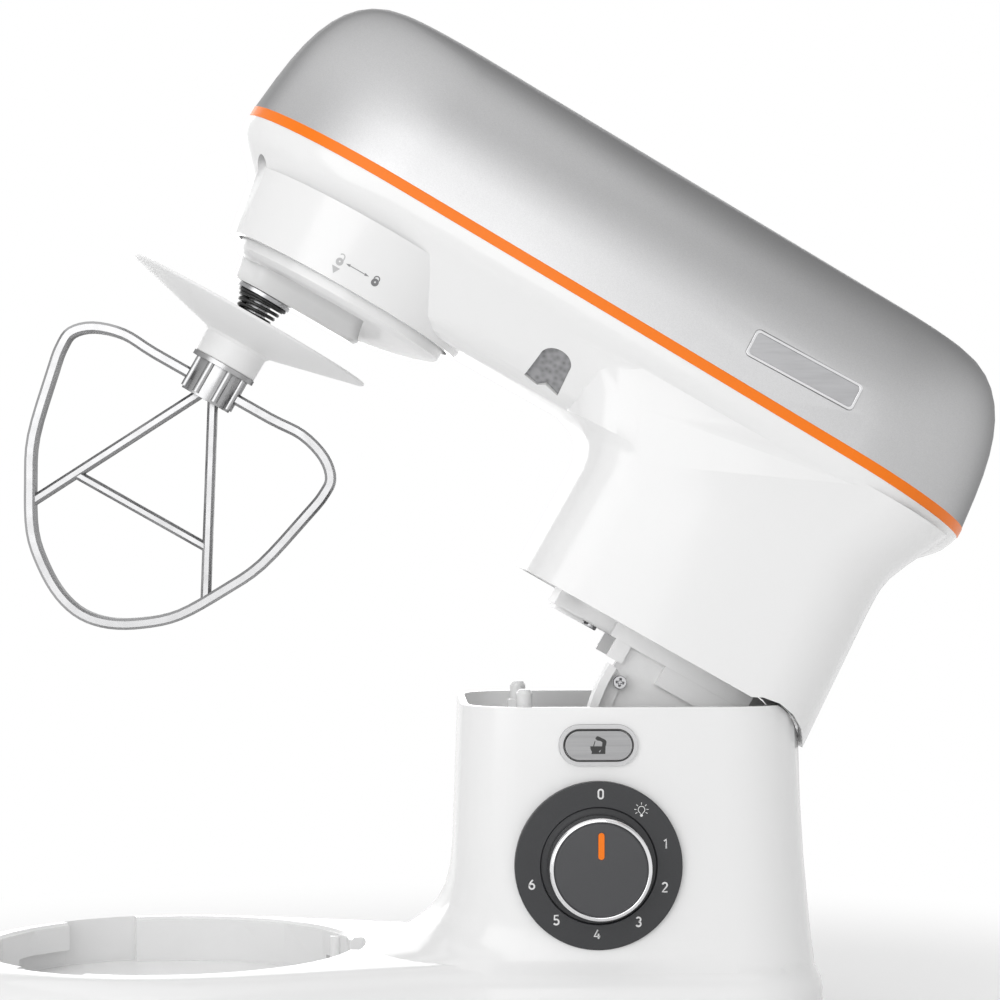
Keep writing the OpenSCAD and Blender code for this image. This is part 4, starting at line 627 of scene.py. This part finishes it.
buttonPrint = {
    "place": (50, -60.0, 129.3),
    "body": [(-3.5, -0.27), (-3.29, -1.64), (-2.8, -2.47), (-3.0, -3.42), (2.68, -3.42), (2.8, -0.27),
             (3.07, 0.41), (3.18, 1.64), (2.8, 2.33), (-0.08, 3.75), (-0.71, 3.84), (-1.45, 2.88),
             (-0.63, 2.1), (0.0, 2.0), (0.88, 1.78), (1.48, 1.3), (1.37, -0.27)],
    "notch": [(0.95, -1.7), (0.45, -2.75), (0.1, -2.55), (0.2, -2.2)],
    "whisk": (-2.1, -0.2, -1.53, 1.73, 0.36),
    # a black ring painted as the shade in the gap around the button: its inner width and height, how wide it
    # is, and the face it lies on
    "gapShade": (28.2, 12.7, 0.8), "gapShadeFace": -58.9}


def stadiumLoop(width, height):
    r, half = height / 2, (width - height) / 2
    return arcPoints(half, 0, r, -90, 90, 16) + arcPoints(-half, 0, r, 90, 270, 16)


def addButtonMark():
    signs = {"buttonMixer": [buttonPrint["body"], buttonPrint["notch"]],
             "buttonWhisk": [strokeLoop(*buttonPrint["whisk"])]}
    for name, loops in signs.items():
        place = sidePlace(*buttonPrint["place"])
        layPrint(outlineMesh(name, loops), name, place, "printDark", "button")
    # a black ring on the base paints the shade in the gap around the button
    width, height, rim = buttonPrint["gapShade"]
    bm = outlineMesh("buttonGapShade", [stadiumLoop(width + rim, height + rim), stadiumLoop(width, height)])
    place = sidePlace(buttonPrint["place"][0], buttonPrint["gapShadeFace"], buttonPrint["place"][2])
    layPrint(bm, "buttonGapShade", place, "blackPlastic", "base")


skirtPrint = {
    # name: place on the skirt in the level head, finish; the lighter finishes paint a highlight on the one
    # grey print
    "closedPadlock": ((-117.1, -55, 217.3), "printGrey"), "openPadlock": ((-133.7, -55, 217.5), "printPaintedGlare"),
    "triangle": ((-133.9, -55, 214.0), "printPaintedGlare"), "arrow": ((-125.8, -55, 218.1), "printHalfGlare"),
    "axis": (-129, 0), "film": 0.14, "trianglePoints": [(-1.94, 1.05), (1.8, 1.0), (0.0, -1.85)],
    "lockBody": 1.6, "keyhole": (0.1, 0.42), "shackle": (1.35, 0.9), "shackleFeet": (1.05, 1.4),
    "openArch": (2.2, 150), "closedArch": (1.55, 180),  # height of the arch's middle, where its curve ends
    "arrowLength": 10.7, "arrowHead": (1.9, 0.6), "arrowLine": 0.16}


def padlockLoops(opened):
    outer, inner = skirtPrint["shackle"]
    low, high = skirtPrint["shackleFeet"]
    top, end = skirtPrint["openArch" if opened else "closedArch"]
    foot = [] if opened else [(-outer, low), (-inner, high)]
    arch = [(outer, low)] + arcPoints(0, top, outer, 0, end, 14) + foot
    arch += arcPoints(0, top, inner, end, 0, 14) + [(inner, high)]
    keyHeight, keyRadius = skirtPrint["keyhole"]
    body = arcPoints(0, 0, skirtPrint["lockBody"], 0, 345, 23)
    return [body, arcPoints(0, keyHeight, keyRadius, 0, 330, 11), arch]


def arrowLoop():
    length, line = skirtPrint["arrowLength"] / 2, skirtPrint["arrowLine"]
    head, wide = skirtPrint["arrowHead"]
    right = [(length - head, -wide), (length, 0), (length - head, wide)]
    steps = 8
    top = [((length - head) * (1 - 2 * k / steps), line) for k in range(steps + 1)]
    bottom = [(-x, -line) for x, _ in top]
    left = [(head - length, wide), (-length, 0), (head - length, -wide)]
    return right + top + left + bottom


def addSkirtMarks(housing):
    shapes = {"closedPadlock": padlockLoops(False), "openPadlock": padlockLoops(True), "arrow": [arrowLoop()],
              "triangle": [skirtPrint["trianglePoints"]]}
    for name, loops in shapes.items():
        spot, finish = skirtPrint[name]
        out = Vector((spot[0] - skirtPrint["axis"][0], spot[1] - skirtPrint["axis"][1], 0)).normalized()
        up = Vector((0, 0, 1))
        along = up.cross(out)
        frameOf = Matrix((along, up, out)).transposed().to_4x4()
        place = headTurn @ Matrix.Translation(Vector(spot) * mm) @ frameOf
        label = "skirt" + name[0].upper() + name[1:]
        film = skirtPrint["film"]
        layPrint(outlineMesh(name, loops), label, place, finish, "head", housing, film)


crossScrews = {
    # node: (spot, outward axis, in the raised head, head radius, head height, shank radius, shank length)
    "carrier_screws": [((53, -34, 124), "-Y", True, 2.95, 2.0, 1.6, 9)]
    + [((x, side * 16, 139.2), "-Z", True, 3, 1.6, 0.9, 0) for x in (32, 60) for side in (-1, 1)],
    "base_screws": [((x, side * y, 3), "-Z", False, 3.4, 1.6, 1.6, 12)
                    for x, y in ((-149.95, 84.03), (-40, 63.98), (86, 54)) for side in (-1, 1)]}

# shares of the screw head's radius and height, turns and angles in degrees, and the rounded edge in mm
crossRecess = {
    "arm": 0.62, "width": 0.17, "depth": 0.62, "taper": 0.55, "segments": 32, "top": 0.9, "chamfer": 0.35,
    "side": 0.65, "firstTurn": 20, "turnStep": 37, "edge": 0.12, "edgeAngle": 40, "sharp": 30}


def grownLoop(bm, edges, shift=0.0, scale=1.0):
    made = bmesh.ops.extrude_edge_only(bm, edges=edges)["geom"]
    verts = [part for part in made if isinstance(part, bmesh.types.BMVert)]
    bmesh.ops.scale(bm, vec=(scale, scale, 1), verts=verts)
    bmesh.ops.translate(bm, vec=(0, 0, shift), verts=verts)
    own = set(verts)
    near = {edge for vert in verts for edge in vert.link_edges}
    return [edge for edge in near if edge.verts[0] in own and edge.verts[1] in own]


def addCrossScrew(bm, place, radius, height, shank, length):
    made = bmesh.new()
    topRadius = radius * crossRecess["top"]
    top = bmesh.ops.create_circle(made, segments=crossRecess["segments"], radius=topRadius)["verts"]
    rim = list({edge for vert in top for edge in vert.link_edges})
    a, w = radius * crossRecess["arm"], radius * crossRecess["width"]
    corners = [(a, -w), (a, w), (w, w), (w, a), (-w, a), (-w, w),
               (-a, w), (-a, -w), (-w, -w), (-w, -a), (w, -a), (w, -w)]
    cross = [made.verts.new((x, y, 0)) for x, y in corners]
    slot = [made.edges.new((cross[k - 1], cross[k])) for k in range(1, len(cross))]
    slot.append(made.edges.new((cross[-1], cross[0])))
    bmesh.ops.triangle_fill(made, edges=rim + slot, use_beauty=True)
    floor = grownLoop(made, slot, -height * crossRecess["depth"], crossRecess["taper"])
    bmesh.ops.holes_fill(made, edges=floor, sides=0)
    edge = grownLoop(made, rim, -height * crossRecess["chamfer"], 1 / crossRecess["top"])
    edge = grownLoop(made, edge, -height * crossRecess["side"])
    edge = grownLoop(made, edge, 0, shank / radius)
    if length:
        edge = grownLoop(made, edge, -length)
    bmesh.ops.holes_fill(made, edges=edge, sides=0)
    bmesh.ops.translate(made, vec=(0, 0, height), verts=made.verts)
    bmesh.ops.recalc_face_normals(made, faces=made.faces)
    bmesh.ops.transform(made, matrix=place @ Matrix.Scale(mm, 4), verts=made.verts)
    held = bpy.data.meshes.new("screw")
    made.to_mesh(held)
    made.free()
    bm.from_mesh(held)
    bpy.data.meshes.remove(held)


def addScrews():
    for node, screws in crossScrews.items():
        bm = bmesh.new()
        for k, (spot, axis, raised, radius, height, shank, length) in enumerate(screws):
            outward = Vector((0, -1, 0)) if axis == "-Y" else Vector((0, 0, -1))
            spin = math.radians(crossRecess["firstTurn"] + crossRecess["turnStep"] * k)
            turn = outward.to_track_quat("Z", "Y").to_matrix().to_4x4() @ Matrix.Rotation(spin, 4, "Z")
            place = Matrix.Translation(Vector(spot) * mm) @ turn
            addCrossScrew(bm, headTurn @ place if raised else place, radius, height, shank, length)
        piece = finishMesh(bm, node + "_cross", crossRecess["sharp"])
        piece.data.materials.append(materials["steel"])
        addBevel(piece, crossRecess["edge"], crossRecess["edgeAngle"])
        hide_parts(node)
        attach(piece, bodyOf[node])


addCamera()
materials = makeMaterials()
print("materials:", len(materials))
addStudio()
print("studio lit:", len(studio["lamps"]), "lamps")
dressNodes()
print("nodes dressed:", len(dressing))
addScrews()
print("cross screws:", sum(len(screws) for screws in crossScrews.values()))
addDialMarks()
addButtonMark()
addSkirtMarks(dressed["head_housing"])
print("marks printed")
bpy.context.scene.view_settings.view_transform = "Standard"
